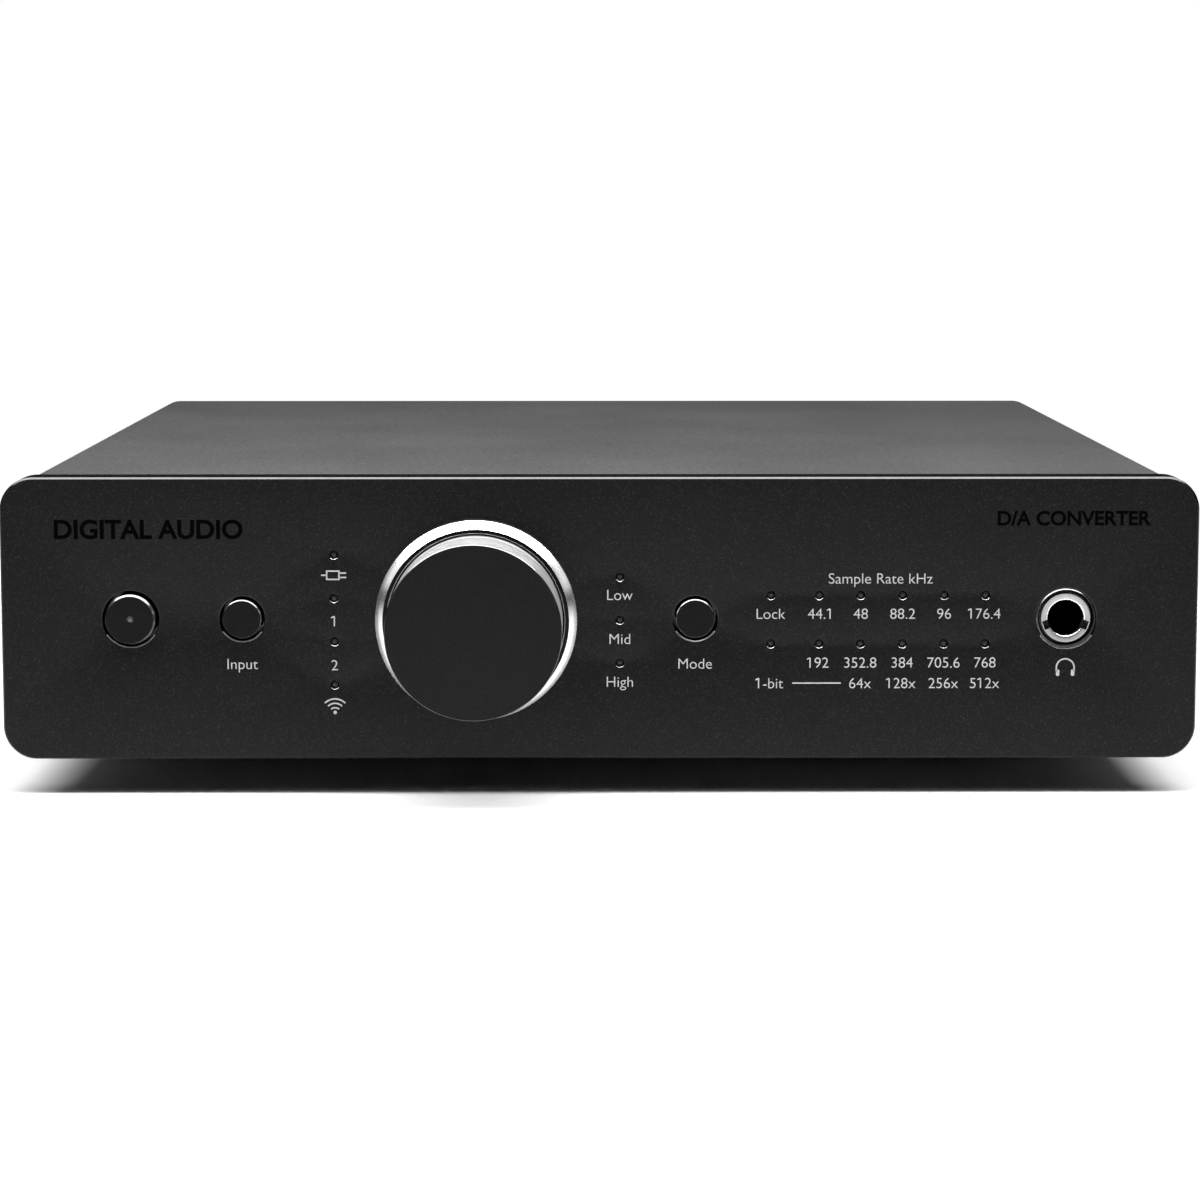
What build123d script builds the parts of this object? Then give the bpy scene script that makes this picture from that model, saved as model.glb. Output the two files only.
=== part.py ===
from build123d import *
import os
from math import sqrt

# Half-width desktop digital-to-analogue converter with a headphone output, in millimetres.
# X is to the right seen from the front, the front faces -Y, and Z is up from the feet.

# ---------------------------------------------------------------- driving dimensions
panel_w = 215.0  # front panel
panel_h = 51.1
panel_t = 5.0
panel_corner = 6.0
panel_chamfer = 0.3
light_edge = 0.12  # chamfer round each light's hole
hole_edge = 0.2  # chamfer round the larger holes
foot_h = 6.6  # room between the panel's lower edge and the surface
case_depth = 168.0  # front face to the sleeve's rear end
knob_reach = 15.0  # the knob stands this far out of the front face
socket_reach = 8.0  # the phono sockets stand this far behind the sleeve
sleeve_inset = 0.75  # the sleeve is this much smaller than the panel, all round
sleeve_wall = 1.6
sleeve_corner = 5.5

total_depth = knob_reach + case_depth + socket_reach
front_y = -total_depth / 2 + knob_reach  # outer face of the front panel
panel_back = front_y + panel_t
sleeve_end = front_y + case_depth
socket_end = total_depth / 2
mid_z = foot_h + panel_h / 2  # centre line of the controls

sleeve_w = panel_w - 2 * sleeve_inset
sleeve_h = panel_h - 2 * sleeve_inset
sleeve_bottom = mid_z - sleeve_h / 2
room_w = sleeve_w - 2 * sleeve_wall
room_h = sleeve_h - 2 * sleeve_wall
room_floor = mid_z - room_h / 2
room_corner = sleeve_corner - sleeve_wall

# Rear panel, set into the sleeve's rear end
rear_t = 1.5
rear_out = sleeve_end - 1.0  # outer face
rear_in = rear_out - rear_t
rear_gap = 0.1  # to the sleeve, and round the sockets

# Chassis tray and boards
tray_t = 1.2
tray_half_w = 97.5
tray_top = room_floor + tray_t
flange_top = room_floor + 7.5  # folded edge that the front panel is screwed to
ear_x = 94.5  # upright ears at the ends of the folded edge
ear_w = 6.0
ear_top = 52.0
spacer_flats = 5.5  # hexagonal spacers, across the flats
spacer_screw = 5.4  # length of the screws in them
board_t = 1.6
main_board_z = 15.0  # underside
main_top = main_board_z + board_t
control_front = -64.0  # front side of the control board
control_back = control_front + board_t

# Controls: distance from the panel's centre, and how far each cap stands out
knob_x = -22.2
knob_r = 15.53
ring_base_r = 18.05
ring_front_r = 16.65
ring_bore_r = 15.85
ring_reach = 3.7
ring_side = ring_reach - (ring_base_r - ring_front_r)  # from here the ring is bevelled at 45 degrees
ring_floor = 0.8
ring_edge = 0.15
knob_hollow_r = 12.0
knob_hollow_floor = -86.0  # clear of the nut
hub_r = 3.0  # encoder shaft
hub_flat = 1.5  # the shaft's flat is this far from its axis
shaft_front = -93.0
shaft_end = -66.0
bush_r = 3.5  # encoder's threaded bush
bush_front = -84.0
encoder_w, encoder_h = 12.5, 13.0
encoder_front = -70.5
bore_end = -65.6  # of the bore the shaft turns in
nut_flats = 10.0
nut_t = 2.0
turning_gap = 0.06  # round shafts and plungers
power_x, power_r, power_proud = -84.3, 4.5, 0.9
source_x, source_r, source_proud = -64.3, 3.5, 0.5
filter_x, filter_r, filter_proud = 17.1, 3.5, 0.2
button_gap = 0.5  # cap to hole, all round
collar_w = 1.2
collar_t = 1.0
stop_gap = 0.3
plunger_r = 1.75
plunger_front = -69.0
plunger_end = -66.3
plunger_room = 0.8  # behind the plunger, for its travel
switch_size = 6.0
switch_corner = 0.4
switch_front = -67.5
button_edge = 0.2  # chamfer round a cap
lens_r = 0.65
power_edge = 0.3

# Indicator lights: rows and columns from the panel's centre
light_hole_r = 0.8
light_r = 0.62
light_recess = 0.2
input_x = -47.75
input_rows = [11.6, 3.73, -4.14, -12.0]
mode_x = 3.55
mode_rows = [7.55, -0.25, -8.05]
rate_columns = [30.7, 39.4, 46.85, 54.4, 61.85, 69.3]
rate_rows = [4.2, -4.6]
guide_t = 1.5
guide_margin = 1.5
guide_corner = 0.8
guide_end = -66.0
led_size = 1.6
led_t = 1.0

# Headphone socket for a 6.35 mm plug
phones_x = 83.8
phones_bore_r = 3.25
phones_bush_r = 4.5
phones_hole_r = 5.4
phones_bush_end = -72.0
phones_room_r = 3.6
phones_end = -46.0
phones_body_w = 13.0
phones_body_h = 14.0
phones_back_wall = 2.0
collar_proud = 0.1  # of the panel's face
collar_flange_w = 1.1
collar_flange_t = 1.5
notch_w = 1.6  # the two wrench notches in the bush, open to its bore
notch_in = 2.9
notch_out = 4.22
notch_depth = 1.2
notch_turns = [-20, 200]  # degrees from +X
spring_front = -66.0
spring_length = 12.0
spring_h = 3.0
spring_t = 0.4
spring_x = phones_room_r + 2 * spring_t
slot_w = 4 * spring_t  # the slot each spring lies against
slot_x = spring_x + (spring_t - slot_w) / 2

# Rear sockets, from the panel's centre
xlr_places = [84.0, 50.0]
xlr_bore_r = 8.3
xlr_body_r = 10.5
xlr_depth = 16.0
xlr_flange_t = 2.0
xlr_flange_w = 26.0
xlr_flange_h = 31.0
xlr_corner = 3.0
xlr_pin_r = 1.2
xlr_pin_circle_r = 4.8
xlr_pin_turn = 30
xlr_pin_tail = 4.0
xlr_pin_tip = 0.7
xlr_wall = 1.0  # floor of the bore
xlr_edge = 0.4
xlr_screw_x = 9.5
xlr_screw_z = 12.0
xlr_screw_places = [
    (x + side * xlr_screw_x, mid_z + side * xlr_screw_z) for x in xlr_places for side in (-1, 1)
]
phono_places = [(22.0, 41.0), (22.0, 23.0), (-2.0, 40.0), (-22.0, 40.0)]
phono_r = 4.15
phono_room_r = 3.3
phono_neck_r = 4.0
phono_neck = 10.5
phono_flats = 11.0
phono_tail = 2.5  # insulator behind the rear panel
phono_recess = 0.6
phono_edge = 0.4
phono_bore_r = 1.65
phono_bore = 9.0
optical_places = [-2.0, -22.0]
optical_w = 10.0
usb_x, usb_w, usb_h = -45.0, 12.0, 11.0
antenna_x = -66.0
antenna_r = 3.175
antenna_neck_r = 3.1
antenna_bore_r = 0.65
antenna_bore = 6.0
antenna_neck = 8.0
antenna_flats = 8.0
dc_x, dc_w, dc_h = -88.0, 9.0, 11.0
socket_face = sleeve_end - 0.2  # front of the sockets that stand just out of the panel

# Feet and screws
foot_r = 9.0
foot_edge = 0.8
foot_recess_r = 4.5
foot_recess = 3.0
foot_screw_r = 2.0
foot_places = [(x, y) for x in (-84.0, 84.0) for y in (-41.0, 70.0)]
channel_r = 3.2  # screw channels in the sleeve's corners
channel_hole = 12.0
channel_x = room_w / 2 - 2.95
channel_z = room_h / 2 - 2.95
channel_places = [(x, mid_z + z) for x in (-channel_x, channel_x) for z in (-channel_z, channel_z)]
panel_screw_hole = 3.4
panel_screw_places = [(x, z) for x in (-ear_x, ear_x) for z in (13.6, 48.0)]
pillar_places = [(x, z) for x in (-72.0, 73.0) for z in (20.5, 48.0)]
standoff_places = [(x, y) for x in (-88.0, 0.0, 88.0) for y in (-52.0, 64.0)]
screw_r = 1.5
head_r = 2.75
head_t = 2.0
cross_w = 0.5  # cross recess in a screw's head


def upright(y):
    """Upright plane at depth y. Its normal points to the front, so sketches read as (X, Z)."""
    return Plane.XZ.offset(-y)


def level(z):
    """Level plane at height z."""
    return Plane.XY.offset(z)


def facing_back(x, y, z):
    """Upright plane through a point, with its normal to the rear."""
    return Plane(origin=(x, y, z), x_dir=(1, 0, 0), z_dir=(0, 1, 0))


def hex_r(across_flats):
    """Corner radius of a hexagon with this size across its flats."""
    return across_flats / sqrt(3)


def light_places():
    """Every indicator light's place on the panel, as (X, Z)."""
    places = [(input_x, mid_z + z) for z in input_rows]
    places += [(mode_x, mid_z + z) for z in mode_rows]
    places += [(x, mid_z + z) for z in rate_rows for x in rate_columns]
    return places


def pan_screw(plane, length, r=screw_r, cap_r=head_r, cap_t=head_t):
    """Pan-head screw in the current part: head out along the plane's normal, shank behind it."""
    with BuildSketch(plane) as outline:
        Circle(cap_r)
    extrude(outline.sketch, amount=cap_t)
    with BuildSketch(plane) as outline:
        Circle(r)
    extrude(outline.sketch, amount=-length)
    with BuildSketch(plane.offset(cap_t)) as outline:
        Rectangle(cap_r, cross_w)
        Rectangle(cross_w, cap_r)
    extrude(outline.sketch, amount=-cap_t / 2, mode=Mode.SUBTRACT)


os.makedirs("parts", exist_ok=True)

# ---------------------------------------------------------------- casing
with BuildPart() as front_panel:
    with BuildSketch(upright(front_y)):
        with Locations((0, mid_z)):
            RectangleRounded(panel_w, panel_h, panel_corner)
    extrude(amount=-panel_t)
    chamfer(front_panel.faces().sort_by(Axis.Y)[0].outer_wire().edges(), panel_chamfer)
    control_holes = [
        (knob_x, bush_r + 0.1),
        (power_x, power_r + button_gap),
        (source_x, source_r + button_gap),
        (filter_x, filter_r + button_gap),
        (phones_x, phones_hole_r),
    ]
    with BuildSketch(upright(front_y)):
        for x, r in control_holes:
            with Locations((x, mid_z)):
                Circle(r)
        with Locations(light_places()):
            Circle(light_hole_r)
    extrude(amount=-panel_t, mode=Mode.SUBTRACT)
    rims = front_panel.edges().filter_by(GeomType.CIRCLE).filter_by_position(Axis.Y, front_y, front_y)
    chamfer(rims.filter_by(lambda rim: rim.radius == light_hole_r), light_edge)
    rims = front_panel.edges().filter_by(GeomType.CIRCLE).filter_by_position(Axis.Y, front_y, front_y)
    chamfer(rims.filter_by(lambda rim: rim.radius > filter_r + button_gap / 2), hole_edge)
    with BuildSketch(upright(panel_back)):
        with Locations(panel_screw_places):
            Circle(screw_r)
    extrude(amount=panel_screw_hole, mode=Mode.SUBTRACT)
front_panel.part.label = "front_panel"
export_step(front_panel.part, "parts/front_panel.step")

with BuildPart() as case_sleeve:
    with BuildSketch(upright(panel_back)):
        with Locations((0, mid_z)):
            RectangleRounded(sleeve_w, sleeve_h, sleeve_corner)
            RectangleRounded(room_w, room_h, room_corner, mode=Mode.SUBTRACT)
    extrude(amount=panel_back - sleeve_end)
    with BuildSketch(upright(panel_back)):
        with Locations(channel_places):
            Circle(channel_r)
    extrude(amount=panel_back - rear_in)
    with BuildSketch(upright(rear_in)):
        with Locations(channel_places):
            Circle(screw_r)
    extrude(amount=channel_hole, mode=Mode.SUBTRACT)
    with BuildSketch(level(sleeve_bottom)):
        with Locations(foot_places):
            Circle(foot_screw_r)
    extrude(amount=sleeve_wall, mode=Mode.SUBTRACT)
case_sleeve.part.label = "case_sleeve"
export_step(case_sleeve.part, "parts/case_sleeve.step")

with BuildPart() as rear_panel:
    with BuildSketch(upright(rear_out)):
        with Locations((0, mid_z)):
            RectangleRounded(room_w - 2 * rear_gap, room_h - 2 * rear_gap, room_corner - rear_gap)
        with Locations(channel_places):
            Circle(screw_r, mode=Mode.SUBTRACT)
        with Locations([(x, mid_z) for x in xlr_places]):
            Circle(xlr_body_r + 2 * rear_gap, mode=Mode.SUBTRACT)
        with Locations(phono_places):
            Circle(phono_neck_r, mode=Mode.SUBTRACT)
        with Locations([(x, main_top + optical_w / 2) for x in optical_places]):
            Rectangle(optical_w + 2 * rear_gap, optical_w + 2 * rear_gap, mode=Mode.SUBTRACT)
        with Locations((usb_x, main_top + usb_h / 2)):
            Rectangle(usb_w + 2 * rear_gap, usb_h + 2 * rear_gap, mode=Mode.SUBTRACT)
        with Locations((dc_x, main_top + dc_h / 2)):
            Rectangle(dc_w + 2 * rear_gap, dc_h + 2 * rear_gap, mode=Mode.SUBTRACT)
        with Locations((antenna_x, mid_z)):
            Circle(antenna_neck_r, mode=Mode.SUBTRACT)
        with Locations(xlr_screw_places):
            Circle(screw_r, mode=Mode.SUBTRACT)
    extrude(amount=rear_t)
rear_panel.part.label = "rear_panel"
export_step(rear_panel.part, "parts/rear_panel.step")

with BuildPart() as chassis_tray:
    with BuildSketch(level(room_floor)):
        with Locations((0, (panel_back + rear_in) / 2)):
            Rectangle(2 * tray_half_w, rear_in - panel_back)
    extrude(amount=tray_t)
    with BuildSketch(upright(panel_back)):
        with Locations((0, (room_floor + flange_top) / 2)):
            Rectangle(2 * tray_half_w, flange_top - room_floor)
        for side in (-1, 1):
            with Locations((side * ear_x, (room_floor + ear_top) / 2)):
                Rectangle(ear_w, ear_top - room_floor)
    extrude(amount=-tray_t)
    with BuildSketch(upright(panel_back)):
        with Locations(panel_screw_places):
            Circle(screw_r)
    extrude(amount=-tray_t, mode=Mode.SUBTRACT)
    with BuildSketch(level(room_floor)):
        with Locations(foot_places):
            Circle(foot_screw_r)
    extrude(amount=tray_t, mode=Mode.SUBTRACT)
chassis_tray.part.label = "chassis_tray"
export_step(chassis_tray.part, "parts/chassis_tray.step")

with BuildPart() as feet:
    with BuildSketch(level(0)):
        with Locations(foot_places):
            Circle(foot_r)
    extrude(amount=sleeve_bottom)
    chamfer(feet.edges().filter_by_position(Axis.Z, 0, 0), foot_edge)
    with BuildSketch(level(0)):
        with Locations(foot_places):
            Circle(foot_recess_r)
    extrude(amount=foot_recess, mode=Mode.SUBTRACT)
    with BuildSketch(level(0)):
        with Locations(foot_places):
            Circle(foot_screw_r)
    extrude(amount=sleeve_bottom, mode=Mode.SUBTRACT)
feet.part.label = "feet"
export_step(feet.part, "parts/feet.step")

with BuildPart() as foot_screws:
    for x, y in foot_places:
        seat = Plane(origin=(x, y, foot_recess), x_dir=(1, 0, 0), z_dir=(0, 0, -1))
        pan_screw(seat, length=8.4, r=foot_screw_r, cap_r=3.6)
foot_screws.part.label = "foot_screws"
export_step(foot_screws.part, "parts/foot_screws.step")

with BuildPart() as rear_panel_screws:
    for x, z in channel_places:
        pan_screw(facing_back(x, rear_out, z), length=9.0, cap_r=2.5)
rear_panel_screws.part.label = "rear_panel_screws"
export_step(rear_panel_screws.part, "parts/rear_panel_screws.step")

with BuildPart() as front_panel_screws:
    for x, z in panel_screw_places:
        pan_screw(facing_back(x, panel_back + tray_t, z), length=4.2)
front_panel_screws.part.label = "front_panel_screws"
export_step(front_panel_screws.part, "parts/front_panel_screws.step")

# ---------------------------------------------------------------- boards and their parts
with BuildPart() as board_standoffs:
    with BuildSketch(level(tray_top)):
        with Locations(standoff_places):
            RegularPolygon(hex_r(spacer_flats), 6)
            Circle(screw_r, mode=Mode.SUBTRACT)
    extrude(amount=main_board_z - tray_top)
board_standoffs.part.label = "board_standoffs"
export_step(board_standoffs.part, "parts/board_standoffs.step")

with BuildPart() as control_board_pillars:
    with BuildSketch(upright(panel_back)):
        with Locations(pillar_places):
            RegularPolygon(hex_r(spacer_flats), 6)
            Circle(screw_r, mode=Mode.SUBTRACT)
    extrude(amount=panel_back - control_front)
control_board_pillars.part.label = "control_board_pillars"
export_step(control_board_pillars.part, "parts/control_board_pillars.step")

with BuildPart() as board_screws:
    for x, y in standoff_places:
        pan_screw(Plane((x, y, main_top)), spacer_screw)
    for x, z in pillar_places:
        pan_screw(facing_back(x, control_back, z), spacer_screw)
board_screws.part.label = "board_screws"
export_step(board_screws.part, "parts/board_screws.step")

main_board_w, main_board_d, main_board_y = 192.0, 138.0, 11.0
control_board_w, control_board_h = 190.0, 38.0
board_corner = 2.0
jack_gap = 0.5  # from the headphone jack's body to the control board
with BuildPart() as main_board:
    with BuildSketch(level(main_board_z)):
        with Locations((0, main_board_y)):
            RectangleRounded(main_board_w, main_board_d, board_corner)
        with Locations(standoff_places):
            Circle(screw_r, mode=Mode.SUBTRACT)
    extrude(amount=board_t)
main_board.part.label = "main_board"
export_step(main_board.part, "parts/main_board.step")

with BuildPart() as control_board:
    with BuildSketch(upright(control_front)):
        with Locations((0, mid_z)):
            RectangleRounded(control_board_w, control_board_h, board_corner)
        with Locations(pillar_places):
            Circle(screw_r, mode=Mode.SUBTRACT)
        with Locations((phones_x, mid_z)):
            Rectangle(phones_body_w + 2 * jack_gap, phones_body_h + 2 * jack_gap, mode=Mode.SUBTRACT)
    extrude(amount=-board_t)
control_board.part.label = "control_board"
export_step(control_board.part, "parts/control_board.step")

# Flat cable between the boards, in the plane of its bend
cable_y = -41.0
cable_z = 31.0
cable_w = 25.4
cable_t = 0.8
header_l, header_w, header_h = 30.0, 6.0, 6.0
header_corner = 0.6
with BuildPart() as ribbon_cable:
    with BuildSketch(Plane.YZ) as cable_strip:
        with BuildLine():
            FilletPolyline(
                (control_back + header_h, cable_z),
                (cable_y, cable_z),
                (cable_y, main_top + header_h),
                radius=5.0,
            )
        trace(line_width=cable_t)
    extrude(amount=cable_w / 2, both=True)
ribbon_cable.part.label = "ribbon_cable"
export_step(ribbon_cable.part, "parts/ribbon_cable.step")

with BuildPart() as ribbon_headers:
    with BuildSketch(upright(control_back)):
        with Locations((0, cable_z)):
            RectangleRounded(header_l, header_w, header_corner)
    extrude(amount=-header_h)
    with BuildSketch(level(main_top)):
        with Locations((0, cable_y)):
            RectangleRounded(header_l, header_w, header_corner)
    extrude(amount=header_h)
ribbon_headers.part.label = "ribbon_headers"
export_step(ribbon_headers.part, "parts/ribbon_headers.step")


def packages(places, w, d, h, corner=0.3):
    """Block-shaped components standing on the main board, in the current part."""
    with BuildSketch(level(main_top)) as outline:
        with Locations(places):
            RectangleRounded(w, d, corner)
    extrude(outline.sketch, amount=h)


with BuildPart() as dac_chips:
    packages([(28.0, 4.0), (-8.0, 4.0)], w=9.0, d=9.0, h=1.2)
dac_chips.part.label = "dac_chips"
export_step(dac_chips.part, "parts/dac_chips.step")

with BuildPart() as usb_receiver_chip:
    packages([(usb_x, 50.0)], w=14.0, d=14.0, h=1.4)
usb_receiver_chip.part.label = "usb_receiver_chip"
export_step(usb_receiver_chip.part, "parts/usb_receiver_chip.step")

with BuildPart() as clock_crystals:
    packages([(-26.0, 38.0), (-14.0, 38.0)], w=7.0, d=5.0, h=1.8)
clock_crystals.part.label = "clock_crystals"
export_step(clock_crystals.part, "parts/clock_crystals.step")

with BuildPart() as muting_relays:
    packages([(38.0, 46.0), (54.0, 46.0), (70.0, 46.0)], w=10.0, d=15.0, h=10.0)
muting_relays.part.label = "muting_relays"
export_step(muting_relays.part, "parts/muting_relays.step")

with BuildPart() as power_inductors:
    packages([(-82.0, 42.0), (-64.0, 42.0)], w=12.0, d=12.0, h=7.0, corner=2.0)
power_inductors.part.label = "power_inductors"
export_step(power_inductors.part, "parts/power_inductors.step")

with BuildPart() as wireless_module:
    packages([(-68.0, 60.0)], w=18.0, d=14.0, h=3.0, corner=0.8)
wireless_module.part.label = "wireless_module"
export_step(wireless_module.part, "parts/wireless_module.step")

with BuildPart() as film_capacitors:
    film_places = [(x, y) for x in (44.0, 60.0, 76.0) for y in (4.0, 18.0)]
    packages(film_places, w=13.0, d=6.0, h=10.0, corner=1.0)
film_capacitors.part.label = "film_capacitors"
export_step(film_capacitors.part, "parts/film_capacitors.step")

can_r, can_h, can_pitch, can_edge = 5.0, 20.0, 12.5, 0.6
with BuildPart() as power_capacitors:
    with BuildSketch(level(main_top)):
        with Locations((-72.0, 12.0)):
            with GridLocations(can_pitch, can_pitch, 4, 2):
                Circle(can_r)
    extrude(amount=can_h)
    fillet(power_capacitors.faces().filter_by(Axis.Z).group_by(Axis.Z)[-1].edges(), can_edge)
power_capacitors.part.label = "power_capacitors"
export_step(power_capacitors.part, "parts/power_capacitors.step")

# Heat sink: an upright plate with fins towards the front, and three regulators on its back
sink_x = -68.0
sink_back = -34.0
sink_w, sink_h, sink_t = 44.0, 24.0, 3.0
fin_t, fin_reach, fin_pitch = 1.4, 9.0, 6.0
with BuildPart() as heat_sink:
    with BuildSketch(level(main_top)):
        with Locations((sink_x, sink_back - sink_t / 2)):
            Rectangle(sink_w, sink_t)
        with Locations((sink_x, sink_back - sink_t - fin_reach / 2)):
            with GridLocations(fin_pitch, fin_reach, 8, 1):
                Rectangle(fin_t, fin_reach)
    extrude(amount=sink_h)
heat_sink.part.label = "heat_sink"
export_step(heat_sink.part, "parts/heat_sink.step")

regulator_w, regulator_h, regulator_t, regulator_pitch = 10.0, 15.0, 4.4, 14.0
lead_length = 3.0
with BuildPart() as regulators:
    with BuildSketch(level(main_top + lead_length)):
        with Locations((sink_x, sink_back + regulator_t / 2)):
            with GridLocations(regulator_pitch, regulator_t, 3, 1):
                Rectangle(regulator_w, regulator_t)
    extrude(amount=regulator_h)
regulators.part.label = "regulators"
export_step(regulators.part, "parts/regulators.step")

# ---------------------------------------------------------------- rotary control
with BuildPart() as knob_ring:
    with BuildSketch(Plane.YZ.offset(knob_x)):
        with BuildLine():
            Polyline(
                (front_y, mid_z + bush_r),
                (front_y, mid_z + ring_base_r),
                (front_y - ring_side, mid_z + ring_base_r),
                (front_y - ring_reach, mid_z + ring_front_r),
                (front_y - ring_reach, mid_z + ring_bore_r + ring_edge),
                (front_y - ring_reach + ring_edge, mid_z + ring_bore_r),
                (front_y - ring_floor, mid_z + ring_bore_r),
                (front_y - ring_floor, mid_z + bush_r),
                close=True,
            )
        make_face()
    revolve(axis=Axis((knob_x, 0, mid_z), (0, 1, 0)))
knob_ring.part.label = "knob_ring"
export_step(knob_ring.part, "parts/knob_ring.step")

knob_front = front_y - knob_reach
knob_back = front_y - ring_floor - stop_gap
knob_edge = 0.2


def shaft_outline():
    """Round with a flat on its upper side, in the current sketch."""
    with Locations((knob_x, mid_z)):
        Circle(hub_r)
    with Locations((knob_x, mid_z + hub_flat + hub_r)):
        Rectangle(2 * hub_r, 2 * hub_r, mode=Mode.SUBTRACT)


with BuildPart() as knob:
    with BuildSketch(upright(knob_back)):
        with Locations((knob_x, mid_z)):
            Circle(knob_r)
    extrude(amount=knob_back - knob_front)
    chamfer(knob.faces().sort_by(Axis.Y)[0].edges(), knob_edge)
    with BuildSketch(upright(knob_back)):
        with Locations((knob_x, mid_z)):
            Circle(knob_hollow_r)
    extrude(amount=knob_back - knob_hollow_floor, mode=Mode.SUBTRACT)
    with BuildSketch(upright(knob_hollow_floor)):
        shaft_outline()
    extrude(amount=knob_hollow_floor - shaft_front, mode=Mode.SUBTRACT)
knob.part.label = "knob"
export_step(knob.part, "parts/knob.step")

with BuildPart() as encoder_shaft:
    with BuildSketch(upright(shaft_end)):
        with Locations((knob_x, mid_z)):
            Circle(hub_r)
    extrude(amount=shaft_end - knob_hollow_floor)
    with BuildSketch(upright(knob_hollow_floor)):
        shaft_outline()
    extrude(amount=knob_hollow_floor - shaft_front)
encoder_shaft.part.label = "encoder_shaft"
export_step(encoder_shaft.part, "parts/encoder_shaft.step")

with BuildPart() as encoder_body:
    with BuildSketch(upright(control_front)):
        with Locations((knob_x, mid_z)):
            RectangleRounded(encoder_w, encoder_h, 0.5)
    extrude(amount=control_front - encoder_front)
    with BuildSketch(upright(encoder_front)):
        with Locations((knob_x, mid_z)):
            Circle(bush_r)
    extrude(amount=encoder_front - bush_front)
    with BuildSketch(upright(bore_end)):
        with Locations((knob_x, mid_z)):
            Circle(hub_r + turning_gap)
    extrude(amount=bore_end - bush_front, mode=Mode.SUBTRACT)
encoder_body.part.label = "encoder_body"
export_step(encoder_body.part, "parts/encoder_body.step")

with BuildPart() as encoder_nut:
    with BuildSketch(upright(front_y - ring_floor)):
        with Locations((knob_x, mid_z)):
            RegularPolygon(hex_r(nut_flats), 6)
            Circle(bush_r, mode=Mode.SUBTRACT)
    extrude(amount=nut_t)
encoder_nut.part.label = "encoder_nut"
export_step(encoder_nut.part, "parts/encoder_nut.step")

# ---------------------------------------------------------------- push buttons


def button(x, r, proud, edge, core_r=0.0):
    """Button in the current part: cap, stop collar behind the panel, and a stem to the switch."""
    stop_y = panel_back + stop_gap
    cap_front = front_y - proud
    with BuildSketch(upright(stop_y)) as outline:
        with Locations((x, mid_z)):
            Circle(r)
    extrude(outline.sketch, amount=stop_y - cap_front)
    with BuildSketch(upright(stop_y + collar_t)) as outline:
        with Locations((x, mid_z)):
            Circle(r + collar_w)
    extrude(outline.sketch, amount=collar_t)
    with BuildSketch(upright(plunger_front)) as outline:
        with Locations((x, mid_z)):
            Circle(plunger_r)
    extrude(outline.sketch, amount=plunger_front - stop_y)
    chamfer(edges().filter_by_position(Axis.Y, cap_front, cap_front), edge)
    if core_r:
        with BuildSketch(upright(cap_front)) as outline:
            with Locations((x, mid_z)):
                Circle(core_r)
        extrude(outline.sketch, amount=cap_front - plunger_front, mode=Mode.SUBTRACT)


def plunger(x):
    """Round plunger of a push switch, in the current part."""
    with BuildSketch(upright(plunger_end)) as outline:
        with Locations((x, mid_z)):
            Circle(plunger_r)
    extrude(outline.sketch, amount=plunger_end - plunger_front)


with BuildPart() as power_button:
    button(power_x, power_r, power_proud, power_edge, lens_r)
power_button.part.label = "power_button"
export_step(power_button.part, "parts/power_button.step")

with BuildPart() as source_button:
    button(source_x, source_r, source_proud, button_edge)
source_button.part.label = "source_button"
export_step(source_button.part, "parts/source_button.step")

with BuildPart() as filter_button:
    button(filter_x, filter_r, filter_proud, button_edge)
filter_button.part.label = "filter_button"
export_step(filter_button.part, "parts/filter_button.step")

with BuildPart() as power_light_guide:
    with BuildSketch(upright(plunger_front)):
        with Locations((power_x, mid_z)):
            Circle(lens_r)
    extrude(amount=plunger_front - (front_y - power_proud))
power_light_guide.part.label = "power_light_guide"
export_step(power_light_guide.part, "parts/power_light_guide.step")

with BuildPart() as power_plunger:
    plunger(power_x)
power_plunger.part.label = "power_plunger"
export_step(power_plunger.part, "parts/power_plunger.step")

with BuildPart() as source_plunger:
    plunger(source_x)
source_plunger.part.label = "source_plunger"
export_step(source_plunger.part, "parts/source_plunger.step")

with BuildPart() as filter_plunger:
    plunger(filter_x)
filter_plunger.part.label = "filter_plunger"
export_step(filter_plunger.part, "parts/filter_plunger.step")

with BuildPart() as tact_switches:
    switch_places = [(x, mid_z) for x in (power_x, source_x, filter_x)]
    with BuildSketch(upright(control_front)):
        with Locations(switch_places):
            RectangleRounded(switch_size, switch_size, switch_corner)
    extrude(amount=control_front - switch_front)
    with BuildSketch(upright(switch_front)):
        with Locations(switch_places):
            Circle(plunger_r + turning_gap)
    extrude(amount=switch_front - plunger_end - plunger_room, mode=Mode.SUBTRACT)
tact_switches.part.label = "tact_switches"
export_step(tact_switches.part, "parts/tact_switches.step")

# ---------------------------------------------------------------- indicator lights


def light_guide(places):
    """Clear moulding in the current part: a plate behind the panel with a rod for each light."""
    xs = [x for x, z in places]
    zs = [z for x, z in places]
    plate_w = max(xs) - min(xs) + 2 * guide_margin
    plate_h = max(zs) - min(zs) + 2 * guide_margin
    with BuildSketch(upright(panel_back)) as outline:
        with Locations(((max(xs) + min(xs)) / 2, (max(zs) + min(zs)) / 2)):
            RectangleRounded(plate_w, plate_h, guide_corner)
    extrude(outline.sketch, amount=-guide_t)
    with BuildSketch(upright(guide_end)) as outline:
        with Locations(places):
            Circle(light_r)
    extrude(outline.sketch, amount=guide_end - front_y - light_recess)


with BuildPart() as input_light_guide:
    light_guide([(input_x, mid_z + z) for z in input_rows])
input_light_guide.part.label = "input_light_guide"
export_step(input_light_guide.part, "parts/input_light_guide.step")

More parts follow.
